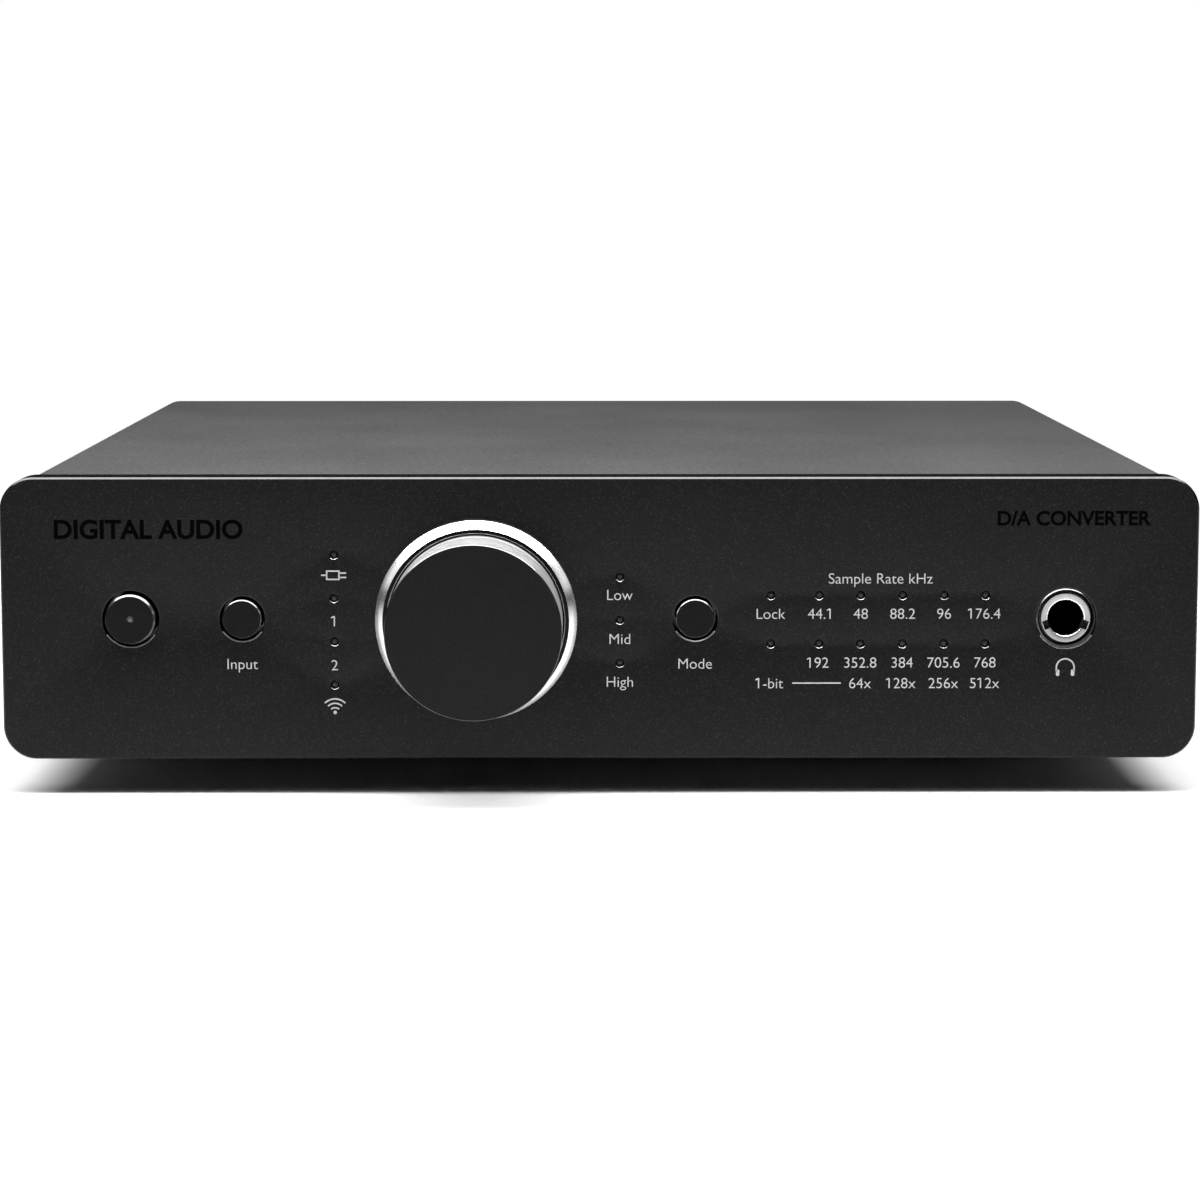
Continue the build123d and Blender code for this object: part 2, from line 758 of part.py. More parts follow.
with BuildPart() as filter_light_guide:
    light_guide([(mode_x, mid_z + z) for z in mode_rows])
filter_light_guide.part.label = "filter_light_guide"
export_step(filter_light_guide.part, "parts/filter_light_guide.step")

with BuildPart() as rate_light_guide:
    light_guide([(x, mid_z + z) for z in rate_rows for x in rate_columns])
rate_light_guide.part.label = "rate_light_guide"
export_step(rate_light_guide.part, "parts/rate_light_guide.step")

with BuildPart() as indicator_leds:
    with BuildSketch(upright(control_front)):
        with Locations(light_places()):
            Rectangle(led_size, led_size)
    extrude(amount=led_t)
indicator_leds.part.label = "indicator_leds"
export_step(indicator_leds.part, "parts/indicator_leds.step")

# ---------------------------------------------------------------- headphone socket
phones_front = front_y + 0.3
with BuildPart() as headphone_bush:
    with BuildSketch(upright(phones_bush_end)):
        with Locations((phones_x, mid_z)):
            Circle(phones_bush_r)
            Circle(phones_bore_r, mode=Mode.SUBTRACT)
    extrude(amount=phones_bush_end - phones_front)
    with BuildSketch(upright(phones_front)):
        with Locations((phones_x, mid_z)):
            for turn in notch_turns:
                with PolarLocations((notch_in + notch_out) / 2, 1, start_angle=turn):
                    Rectangle(notch_out - notch_in, notch_w)
    extrude(amount=-notch_depth, mode=Mode.SUBTRACT)
headphone_bush.part.label = "headphone_bush"
export_step(headphone_bush.part, "parts/headphone_bush.step")

with BuildPart() as headphone_collar:
    with BuildSketch(upright(panel_back + collar_flange_t)):
        with Locations((phones_x, mid_z)):
            Circle(phones_hole_r + collar_flange_w)
            Circle(phones_bush_r, mode=Mode.SUBTRACT)
    extrude(amount=collar_flange_t)
    with BuildSketch(upright(panel_back)):
        with Locations((phones_x, mid_z)):
            Circle(phones_hole_r)
            Circle(phones_bush_r, mode=Mode.SUBTRACT)
    extrude(amount=panel_back - front_y + collar_proud)
headphone_collar.part.label = "headphone_collar"
export_step(headphone_collar.part, "parts/headphone_collar.step")

with BuildPart() as headphone_jack:
    with BuildSketch(upright(phones_bush_end)):
        with Locations((phones_x, mid_z)):
            RectangleRounded(phones_body_w, phones_body_h, 1.0)
    extrude(amount=phones_bush_end - phones_end)
    with BuildSketch(upright(phones_bush_end)):
        with Locations((phones_x, mid_z)):
            Circle(phones_room_r)
    extrude(amount=phones_bush_end - phones_end + phones_back_wall, mode=Mode.SUBTRACT)
    with BuildSketch(upright(spring_front)):
        with Locations([(phones_x + side * slot_x, mid_z) for side in (-1, 1)]):
            Rectangle(slot_w, spring_h)
    extrude(amount=-spring_length, mode=Mode.SUBTRACT)
headphone_jack.part.label = "headphone_jack"
export_step(headphone_jack.part, "parts/headphone_jack.step")

with BuildPart() as jack_springs:
    with BuildSketch(upright(spring_front)):
        with Locations([(phones_x + side * spring_x, mid_z) for side in (-1, 1)]):
            Rectangle(spring_t, spring_h)
    extrude(amount=-spring_length)
jack_springs.part.label = "jack_springs"
export_step(jack_springs.part, "parts/jack_springs.step")

# ---------------------------------------------------------------- rear sockets
xlr_face = rear_out + xlr_flange_t
with BuildPart() as xlr_sockets:
    with BuildSketch(upright(xlr_face)):
        with Locations([(x, mid_z) for x in xlr_places]):
            RectangleRounded(xlr_flange_w, xlr_flange_h, xlr_corner)
    extrude(amount=xlr_flange_t)
    with BuildSketch(upright(rear_out)):
        with Locations([(x, mid_z) for x in xlr_places]):
            Circle(xlr_body_r)
    extrude(amount=xlr_depth)
    with BuildSketch(upright(xlr_face)):
        with Locations([(x, mid_z) for x in xlr_places]):
            Circle(xlr_bore_r)
    extrude(amount=xlr_depth - xlr_wall, mode=Mode.SUBTRACT)
    with BuildSketch(upright(xlr_face)):
        with Locations(xlr_screw_places):
            Circle(screw_r)
        for x in xlr_places:
            with Locations((x, mid_z)):
                with PolarLocations(xlr_pin_circle_r, 3, start_angle=xlr_pin_turn):
                    Circle(xlr_pin_r)
    extrude(amount=xlr_depth + xlr_flange_t, mode=Mode.SUBTRACT)
    xlr_rims = xlr_sockets.edges().filter_by_position(Axis.Y, xlr_face, xlr_face)
    chamfer(xlr_rims.filter_by(GeomType.CIRCLE).filter_by(lambda rim: rim.radius == xlr_bore_r), xlr_edge)
xlr_sockets.part.label = "xlr_sockets"
export_step(xlr_sockets.part, "parts/xlr_sockets.step")

pin_front = xlr_face - 1.2
with BuildPart() as xlr_pins:
    with BuildSketch(upright(pin_front)):
        for x in xlr_places:
            with Locations((x, mid_z)):
                with PolarLocations(xlr_pin_circle_r, 3, start_angle=xlr_pin_turn):
                    Circle(xlr_pin_r)
    extrude(amount=xlr_depth + xlr_pin_tail)
    fillet(xlr_pins.edges().filter_by_position(Axis.Y, pin_front, pin_front), xlr_pin_tip)
xlr_pins.part.label = "xlr_pins"
export_step(xlr_pins.part, "parts/xlr_pins.step")

with BuildPart() as xlr_screws:
    for x, z in xlr_screw_places:
        pan_screw(facing_back(x, xlr_face, z), length=7.0)
xlr_screws.part.label = "xlr_screws"
export_step(xlr_screws.part, "parts/xlr_screws.step")

phono_flange = rear_out + 2.0
with BuildPart() as phono_sockets:
    with BuildSketch(upright(socket_end)):
        with Locations(phono_places):
            Circle(phono_r)
    extrude(amount=socket_end - phono_flange)
    chamfer(phono_sockets.edges().filter_by_position(Axis.Y, socket_end, socket_end), phono_edge)
    with BuildSketch(upright(phono_flange)):
        with Locations(phono_places):
            RegularPolygon(hex_r(phono_flats), 6)
    extrude(amount=phono_flange - rear_out)
    with BuildSketch(upright(rear_out)):
        with Locations(phono_places):
            Circle(phono_neck_r)
    extrude(amount=phono_neck)
    with BuildSketch(upright(socket_end)):
        with Locations(phono_places):
            Circle(phono_room_r)
    extrude(amount=socket_end - rear_out + phono_tail, mode=Mode.SUBTRACT)
phono_sockets.part.label = "phono_sockets"
export_step(phono_sockets.part, "parts/phono_sockets.step")

with BuildPart() as phono_insulators:
    with BuildSketch(upright(socket_end - phono_recess)):
        with Locations(phono_places):
            Circle(phono_room_r)
    extrude(amount=socket_end - phono_recess - rear_out + phono_tail)
    with BuildSketch(upright(socket_end - phono_recess)):
        with Locations(phono_places):
            Circle(phono_bore_r)
    extrude(amount=phono_bore, mode=Mode.SUBTRACT)
phono_insulators.part.label = "phono_insulators"
export_step(phono_insulators.part, "parts/phono_insulators.step")

# Optical sockets: the shutter hangs from a pin across the top of the mouth and swings inwards
optical_mid = main_top + optical_w / 2
optical_length = 15.0
optical_room = 7.4
optical_depth = 10.0
fibre_r, fibre_depth = 1.1, 2.0
shutter_y = socket_face - 1.3
shutter_pivot = optical_mid + optical_room / 2 - 1.0
shutter_low = optical_mid - optical_room / 2 + 0.35  # lower edge
shutter_t = 0.6
shutter_w = 6.8
pivot_r = 0.45
pivot_gap = 0.05
pivot_hole = 0.8  # depth in each side wall
pivot_reach = 0.6
barrel_r = 0.6


def optical_socket(x):
    """Housing of one optical socket, in the current part."""
    with BuildSketch(upright(socket_face)) as outline:
        with Locations((x, optical_mid)):
            RectangleRounded(optical_w, optical_w, 0.5)
    extrude(outline.sketch, amount=optical_length)
    with BuildSketch(upright(socket_face)) as outline:
        with Locations((x, optical_mid)):
            RectangleRounded(optical_room, optical_room, 0.4)
    extrude(outline.sketch, amount=optical_depth, mode=Mode.SUBTRACT)
    with BuildSketch(upright(socket_face - optical_depth)) as outline:
        with Locations((x, optical_mid)):
            Circle(fibre_r)
    extrude(outline.sketch, amount=fibre_depth, mode=Mode.SUBTRACT)
    with BuildSketch(Plane.YZ.offset(x)) as outline:
        with Locations((shutter_y, shutter_pivot)):
            Circle(pivot_r + pivot_gap)
    extrude(outline.sketch, amount=optical_room / 2 + pivot_hole, both=True, mode=Mode.SUBTRACT)


def optical_shutter(x):
    """Shutter of one optical socket with its pivot pin, in the current part."""
    with BuildSketch(Plane.YZ.offset(x)) as outline:
        with Locations((shutter_y, shutter_pivot)):
            Circle(barrel_r)
        with Locations((shutter_y, (shutter_low + shutter_pivot) / 2)):
            Rectangle(shutter_t, shutter_pivot - shutter_low)
    extrude(outline.sketch, amount=shutter_w / 2, both=True)
    with BuildSketch(Plane.YZ.offset(x)) as outline:
        with Locations((shutter_y, shutter_pivot)):
            Circle(pivot_r)
    extrude(outline.sketch, amount=optical_room / 2 + pivot_reach, both=True)


with BuildPart() as optical_socket_1:
    optical_socket(optical_places[0])
optical_socket_1.part.label = "optical_socket_1"
export_step(optical_socket_1.part, "parts/optical_socket_1.step")

with BuildPart() as optical_socket_2:
    optical_socket(optical_places[1])
optical_socket_2.part.label = "optical_socket_2"
export_step(optical_socket_2.part, "parts/optical_socket_2.step")

with BuildPart() as optical_shutter_1:
    optical_shutter(optical_places[0])
optical_shutter_1.part.label = "optical_shutter_1"
export_step(optical_shutter_1.part, "parts/optical_shutter_1.step")

with BuildPart() as optical_shutter_2:
    optical_shutter(optical_places[1])
optical_shutter_2.part.label = "optical_shutter_2"
export_step(optical_shutter_2.part, "parts/optical_shutter_2.step")

usb_mid = main_top + usb_h / 2
usb_length = 17.0
usb_depth = 12.0
tongue_recess = 1.7
tongue_w, tongue_h = 5.6, 3.2
usb_mouth = [(-4.45, -4.1), (4.45, -4.1), (4.45, 2.4), (2.75, 4.1), (-2.75, 4.1), (-4.45, 2.4)]
with BuildPart() as usb_socket:
    with BuildSketch(upright(socket_face)):
        with Locations((usb_x, usb_mid)):
            Rectangle(usb_w, usb_h)
    extrude(amount=usb_length)
    with BuildSketch(upright(socket_face)):
        with Locations((usb_x, usb_mid)):
            Polygon(*usb_mouth, align=None)
    extrude(amount=usb_depth, mode=Mode.SUBTRACT)
usb_socket.part.label = "usb_socket"
export_step(usb_socket.part, "parts/usb_socket.step")

with BuildPart() as usb_tongue:
    with BuildSketch(upright(socket_face - tongue_recess)):
        with Locations((usb_x, usb_mid)):
            Rectangle(tongue_w, tongue_h)
    extrude(amount=usb_depth - tongue_recess)
usb_tongue.part.label = "usb_tongue"
export_step(usb_tongue.part, "parts/usb_tongue.step")

dc_mid = main_top + dc_h / 2
dc_length = 14.0
dc_depth = 10.0
dc_mouth_r = 3.1
dc_pin_r = 1.0
dc_pin_recess = 0.8
root_r, root_length = 1.3, 2.0  # the pin's thicker root in the inlet's floor
dc_floor = socket_face - dc_depth
with BuildPart() as dc_inlet:
    with BuildSketch(upright(socket_face)):
        with Locations((dc_x, dc_mid)):
            RectangleRounded(dc_w, dc_h, 0.4)
    extrude(amount=dc_length)
    with BuildSketch(upright(socket_face)):
        with Locations((dc_x, dc_mid)):
            Circle(dc_mouth_r)
    extrude(amount=dc_depth, mode=Mode.SUBTRACT)
    with BuildSketch(upright(dc_floor)):
        with Locations((dc_x, dc_mid)):
            Circle(root_r)
    extrude(amount=root_length, mode=Mode.SUBTRACT)
dc_inlet.part.label = "dc_inlet"
export_step(dc_inlet.part, "parts/dc_inlet.step")

with BuildPart() as dc_pin:
    with BuildSketch(upright(socket_face - dc_pin_recess)):
        with Locations((dc_x, dc_mid)):
            Circle(dc_pin_r)
    extrude(amount=dc_depth - dc_pin_recess)
    with BuildSketch(upright(dc_floor)):
        with Locations((dc_x, dc_mid)):
            Circle(root_r)
    extrude(amount=root_length)
dc_pin.part.label = "dc_pin"
export_step(dc_pin.part, "parts/dc_pin.step")

with BuildPart() as antenna_socket:
    with BuildSketch(upright(socket_end)):
        with Locations((antenna_x, mid_z)):
            Circle(antenna_r)
    extrude(amount=socket_end - phono_flange)
    with BuildSketch(upright(phono_flange)):
        with Locations((antenna_x, mid_z)):
            RegularPolygon(hex_r(antenna_flats), 6)
    extrude(amount=phono_flange - rear_out)
    with BuildSketch(upright(rear_out)):
        with Locations((antenna_x, mid_z)):
            Circle(antenna_neck_r)
    extrude(amount=antenna_neck)
    with BuildSketch(upright(socket_end)):
        with Locations((antenna_x, mid_z)):
            Circle(antenna_bore_r)
    extrude(amount=antenna_bore, mode=Mode.SUBTRACT)
antenna_socket.part.label = "antenna_socket"
export_step(antenna_socket.part, "parts/antenna_socket.step")
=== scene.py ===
from math import atan, cos, degrees, pi, radians, sin, sqrt

import bmesh
import bpy
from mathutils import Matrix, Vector


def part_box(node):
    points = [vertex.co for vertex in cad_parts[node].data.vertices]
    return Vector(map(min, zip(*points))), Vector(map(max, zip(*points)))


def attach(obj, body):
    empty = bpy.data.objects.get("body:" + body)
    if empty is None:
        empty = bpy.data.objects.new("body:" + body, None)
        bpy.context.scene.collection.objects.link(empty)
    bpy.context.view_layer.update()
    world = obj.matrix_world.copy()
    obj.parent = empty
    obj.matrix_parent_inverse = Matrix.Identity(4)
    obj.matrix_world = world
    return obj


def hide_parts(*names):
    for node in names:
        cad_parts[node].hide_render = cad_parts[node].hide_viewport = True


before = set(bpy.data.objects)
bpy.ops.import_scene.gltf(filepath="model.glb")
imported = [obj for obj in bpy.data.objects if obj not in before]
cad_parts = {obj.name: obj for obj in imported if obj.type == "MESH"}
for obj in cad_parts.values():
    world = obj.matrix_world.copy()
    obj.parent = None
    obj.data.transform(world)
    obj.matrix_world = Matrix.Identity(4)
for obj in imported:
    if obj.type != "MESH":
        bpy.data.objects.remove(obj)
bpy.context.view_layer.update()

# Sizes below are in millimetres and are turned into metres as each mesh is made.
MM = 0.001
CHASSIS = "chassis"
HOLE_STEPS = 4  # facets round the edge of a hole
PROUD, SUNK = 0.018, -0.01  # how far print stands on a face and reaches into it
CAP = 1.92  # height of a legend's capitals
LINE = 0.26  # width of its lines
THINNED = -0.008  # taken off each side of a white letter's strokes, of a size of 1
CAPITAL = 0.7  # height of a capital in the built-in font, of a size of 1
# Corners of the flag of a 1, from the left side of its stem, in the same measure
FLAG = ((0, CAPITAL), (-0.17, 0.6), (-0.17, 0.53), (0, 0.6))


# ---- the frame, in millimetres
class Box:
    """A CAD node's box in millimetres."""

    def __init__(self, node):
        low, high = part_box(node)
        self.low = Vector(low) / MM
        self.high = Vector(high) / MM
        self.mid = (self.low + self.high) / 2
        self.size = self.high - self.low


panel = Box("front_panel")
sleeve = Box("case_sleeve")
rear = Box("rear_panel")
knob = Box("knob")
face_y = panel.low.y
mid_z = panel.mid.z

# ---- camera
CAMERA_AHEAD = 456.75  # in front of the panel's face
CAMERA_ABOVE = 53.19  # over the panel's upper edge
CAMERA_SIDE = -2.4
CAMERA_DOWN = 5.098  # degrees
CAMERA_TURN = -0.298
CAMERA_LENS = 77.11
CAMERA_SHIFT = -0.16


def add_camera():
    data = bpy.data.cameras.new("camera")
    data.lens = CAMERA_LENS
    data.sensor_width = 36.0
    data.shift_y = CAMERA_SHIFT
    data.clip_start, data.clip_end = 0.01, 100.0
    camera = bpy.data.objects.new("camera", data)
    x, y, z = CAMERA_SIDE, face_y - CAMERA_AHEAD, panel.high.z + CAMERA_ABOVE
    camera.location = Vector((x, y, z)) * MM
    camera.rotation_euler = (radians(90 - CAMERA_DOWN), 0, radians(CAMERA_TURN))
    bpy.context.scene.collection.objects.link(camera)
    bpy.context.scene.camera = camera


add_camera()


# ---- materials
class Nodes:
    """The node tree of a material or world, with short calls for the nodes used here."""

    def __init__(self, name, family=bpy.data.materials, coords="Object"):
        self.owner = family.new(name)
        self.owner.use_nodes = True
        self.tree = self.owner.node_tree
        self.shader = self.tree.nodes.get("Principled BSDF")
        self.coords = self.add("ShaderNodeTexCoord").outputs[coords]

    def add(self, kind, inputs=(), **settings):
        node = self.tree.nodes.new(kind)
        for name, value in settings.items():
            setattr(node, name, value)
        for key, value in dict(inputs).items():
            self.put(node.inputs[key], value)
        return node

    def put(self, socket, value):
        """Links an output to the socket, or sets the socket's own value."""
        if isinstance(value, bpy.types.NodeSocket):
            self.tree.links.new(value, socket)
        else:
            socket.default_value = value

    def noise(self, scale, detail=2.0, rough=0.5, stretch=(1, 1, 1)):
        mapping = self.add("ShaderNodeMapping", {"Vector": self.coords, "Scale": stretch})
        node = self.add(
            "ShaderNodeTexNoise",
            {"Vector": mapping.outputs[0], "Scale": scale, "Detail": detail, "Roughness": rough},
        )
        return node.outputs["Fac"]

    def cells(self, scale):
        """Random value for each tiny cell, as grit or metal flakes have."""
        node = self.add("ShaderNodeTexVoronoi", {"Vector": self.coords, "Scale": scale})
        return self.add("ShaderNodeSeparateColor", {"Color": node.outputs["Color"]}).outputs[0]

    def span(self, value, low, high, start=0.3, end=0.7):
        """value's range start..end becomes low..high."""
        node = self.add(
            "ShaderNodeMapRange",
            {"Value": value, "From Min": start, "From Max": end, "To Min": low, "To Max": high},
        )
        return node.outputs[0]

    def tints(self, value, low, high, start=0.3, end=0.7):
        """Colour from low to high as value goes from start to end."""
        ramp = self.add("ShaderNodeValToRGB", {"Fac": value})
        for stop, place, tint in zip(ramp.color_ramp.elements, (start, end), (low, high)):
            stop.position = place
            stop.color = (*tint, 1.0)
        return ramp.outputs["Color"]

    def math(self, operation, a, b=0.0):
        return self.add("ShaderNodeMath", {0: a, 1: b}, operation=operation).outputs[0]

    def bump(self, height, distance, strength):
        inputs = {"Height": height, "Distance": distance * MM, "Strength": strength}
        return self.add("ShaderNodeBump", inputs).outputs[0]

    def set(self, **values):
        """Sets the shader's sockets: base_color becomes Base Color, and so on."""
        for key, value in values.items():
            socket = self.shader.inputs[key.replace("_", " ").title().replace("Ior", "IOR")]
            self.put(socket, value)
        return self.owner


def grey(level, cool=0.0):
    return (level, level, level * (1 + cool))


def blasted(name, dark, light, grit_glint_grey, rough, gloss=0.2, grain=0.006):
    """Bead-blasted and dyed metal: a fine even grain with a scatter of brighter specks, grit that
    also stands in for glints of light, painted into the colour.
    """
    n = Nodes(name)
    grit_glint_cells = n.cells(5200)
    fine, broad = n.noise(2600, 2), n.noise(55, 3)
    mottled = n.math("ADD", n.math("MULTIPLY", fine, 0.7), n.math("MULTIPLY", broad, 0.3))
    body = n.tints(mottled, grey(dark, cool=0.05), grey(light, cool=0.05), 0.36, 0.66)
    # Specks painted brighter: partly real grit speckle, partly painted glints
    bright = n.span(grit_glint_cells, 0.0, 1.0, 0.82, 1.0)
    mix = n.add("ShaderNodeMix", {"Factor": bright}, data_type="RGBA")
    n.put(mix.inputs[6], body)
    n.put(mix.inputs[7], (*grey(grit_glint_grey), 1.0))
    height = n.math("ADD", n.noise(2600, 2), n.math("MULTIPLY", grit_glint_cells, 0.5))
    return n.set(
        base_color=mix.outputs[2],
        roughness=n.span(n.noise(900, 3), rough - 0.05, rough + 0.06),
        specular_ior_level=gloss,
        normal=n.bump(height, grain, 0.6),
    )


def painted(name, dark, light, rough, grain=0.02, scale=1300):
    """Fine-texture satin paint over sheet metal."""
    n = Nodes(name)
    fine, broad = n.noise(scale, 2), n.noise(25, 3)
    tone = n.math("ADD", n.math("MULTIPLY", fine, 0.6), n.math("MULTIPLY", broad, 0.4))
    return n.set(
        base_color=n.tints(tone, grey(dark, cool=0.03), grey(light, cool=0.03), 0.35, 0.65),
        metallic=0.0,
        roughness=n.span(n.noise(700, 3), rough - 0.05, rough + 0.06),
        normal=n.bump(n.noise(scale * 1.4, 3), grain, 0.7),
    )


def metal(name, tint, rough, vary=0.05, grain=0.002, scale=900, stretch=(1, 1, 1)):
    """Plain or plated metal. A stretch makes the grain run along one direction."""
    n = Nodes(name)
    fine = n.noise(scale, 3, 0.6, stretch)
    low = tuple(c * 0.9 for c in tint)
    return n.set(
        base_color=n.tints(n.noise(60, 3), low, tint),
        metallic=1.0,
        roughness=n.span(fine, max(rough - vary, 0.02), rough + vary),
        normal=n.bump(fine, grain, 0.5),
    )


def turned(name, tint, rough, spot, mix):
    """Lathe-turned metal: fine grooves round the Y axis through spot (X, Z), in millimetres."""
    n = Nodes(name)
    parts = n.add("ShaderNodeSeparateXYZ", {"Vector": n.coords})
    across = n.math("SUBTRACT", parts.outputs[0], spot[0] * MM)
    up = n.math("SUBTRACT", parts.outputs[2], spot[1] * MM)
    squares = n.math("ADD", n.math("MULTIPLY", across, across), n.math("MULTIPLY", up, up))
    path = n.math("ADD", n.math("SQRT", squares), parts.outputs[1])
    inputs = {"W": path, "Scale": 9000, "Detail": 3}
    groove = n.add("ShaderNodeTexNoise", inputs, noise_dimensions="1D").outputs["Fac"]
    low = tuple(c * 0.85 for c in tint)
    return n.set(
        base_color=n.tints(n.noise(80, 3), low, tint),
        metallic=mix,
        roughness=n.span(groove, rough - 0.06, rough + 0.08),
        normal=n.bump(groove, 0.004, 0.6),
    )


def plastic(name, tint, rough, grain=0.01, scale=1500, gloss=0.5):
    """Moulded plastic or rubber with a fine spark texture."""
    n = Nodes(name)
    low = tuple(c * 0.82 for c in tint)
    return n.set(
        base_color=n.tints(n.noise(120, 3), low, tint),
        roughness=n.span(n.noise(scale, 3), rough - 0.06, rough + 0.06),
        specular_ior_level=gloss,
        normal=n.bump(n.noise(scale * 1.3, 2), grain, 0.6),
    )


def clear_plastic(name, tint, rough):
    """Milky light guide: lets a little light through and shines at its rim."""
    n = Nodes(name)
    return n.set(
        base_color=n.tints(n.noise(1500, 2), tuple(c * 0.8 for c in tint), tint),
        roughness=n.span(n.noise(2500, 2), rough - 0.05, rough + 0.08),
        transmission_weight=0.1,
        ior=1.3,
        normal=n.bump(n.noise(2500, 2), 0.003, 0.4),
    )


def ink(name, tint, rough, gloss=0.5):
    """Screen-printed ink with slightly uneven cover."""
    n = Nodes(name)
    low = tuple(c * 0.8 for c in tint)
    return n.set(
        base_color=n.tints(n.noise(3500, 2), low, tint, 0.3, 0.6),
        roughness=n.span(n.noise(2500, 2), rough - 0.08, rough + 0.08),
        specular_ior_level=gloss,
    )


# Tint, roughness, and what else metal() and plastic() take
METALS = {
    "cut_edge": ((0.034, 0.034, 0.035), 0.2, 0.05),
    "bright_edge": ((0.10, 0.10, 0.102), 0.2, 0.05),
    # painted highlight: bright metal for only the lower rims of the panel's holes
    "painted_highlight_rim": ((0.85, 0.85, 0.86), 0.38, 0.05),
    "chrome_satin": ((0.40, 0.40, 0.405), 0.2, 0.04, 0.001),
    "ring_polish": ((0.82, 0.82, 0.83), 0.24, 0.03, 0.001),
    # near black: the ring's dark front face, and painted shade in bores, gaps and the knob's groove
    "painted_shade_and_dark_face": ((0.012, 0.012, 0.012), 0.3, 0.05),
    "collar": ((0.045, 0.045, 0.047), 0.32, 0.06),
    "dark_metal": ((0.10, 0.10, 0.105), 0.28, 0.06),
    "nickel": ((0.62, 0.60, 0.57), 0.18, 0.06),
    "zinc": ((0.60, 0.61, 0.63), 0.32, 0.08),
    "black_steel": ((0.05, 0.05, 0.052), 0.35, 0.08),
    "gold": ((0.85, 0.62, 0.26), 0.2, 0.06),
    "can": ((0.66, 0.66, 0.67), 0.3, 0.08, 0.002, 900, (1, 12, 1)),
    "sink": ((0.07, 0.07, 0.075), 0.4, 0.08, 0.004, 900, (1, 1, 10)),
}
PLASTICS = {
    "can_sleeve": ((0.02, 0.02, 0.035), 0.25),
    "black_plastic": ((0.018, 0.018, 0.019), 0.42),
    "rubber": ((0.020, 0.020, 0.021), 0.72, 0.03, 900, 0.35),
    "white_plastic": ((0.75, 0.75, 0.73), 0.4),
    "red_plastic": ((0.45, 0.02, 0.02), 0.38),
    "orange_plastic": ((0.70, 0.20, 0.02), 0.38),
    "grey_plastic": ((0.20, 0.20, 0.21), 0.45),
    "film_red": ((0.40, 0.05, 0.03), 0.3),
}
MAT = {
    "panel": blasted("panel_blasted", 0.0008, 0.0027, 0.014, 0.40, 0.17),
    "sleeve": painted("sleeve_satin", 0.043, 0.067, 0.45),
    "knob_face": blasted("knob_blasted", 0.003, 0.005, 0.008, 0.45, 0.14),
    "knob_side": turned("knob_turned", (0.36, 0.36, 0.365), 0.42, knob.mid.xz, mix=0.5),
    "button": blasted("button_blasted", 0.0025, 0.004, 0.005, 0.45, 0.10),
    "lens": clear_plastic("lens_milky", (0.045, 0.045, 0.046), 0.5),
    "lens_pale": clear_plastic("lens_pale", (0.15, 0.15, 0.152), 0.25),
    "print_light": ink("print_light", (0.44, 0.44, 0.445), 0.5, 0.3),
    "print_dark": ink("print_dark", (0.001, 0.001, 0.001), 0.4, 0.01),
    "rear_paint": painted("rear_satin", 0.014, 0.026, 0.5, 0.03, 1500),
    "board": plastic("board_green", (0.015, 0.09, 0.045), 0.35, 0.01, 2500),
    "relay": plastic("relay_white", (0.62, 0.62, 0.60), 0.42),
    "cable": plastic("cable_grey", (0.33, 0.33, 0.34), 0.5, 0.03, 500),
}
MAT.update({name: metal(name, *look) for name, look in METALS.items()})
MAT.update({name: plastic(name, *look) for name, look in PLASTICS.items()})


# ---- mesh building
AXES = {
    "front": ((1, 0, 0), (0, 0, 1), (0, -1, 0)),
    "rear": ((-1, 0, 0), (0, 0, 1), (0, 1, 0)),
    "down": ((1, 0, 0), (0, -1, 0), (0, 0, -1)),
}


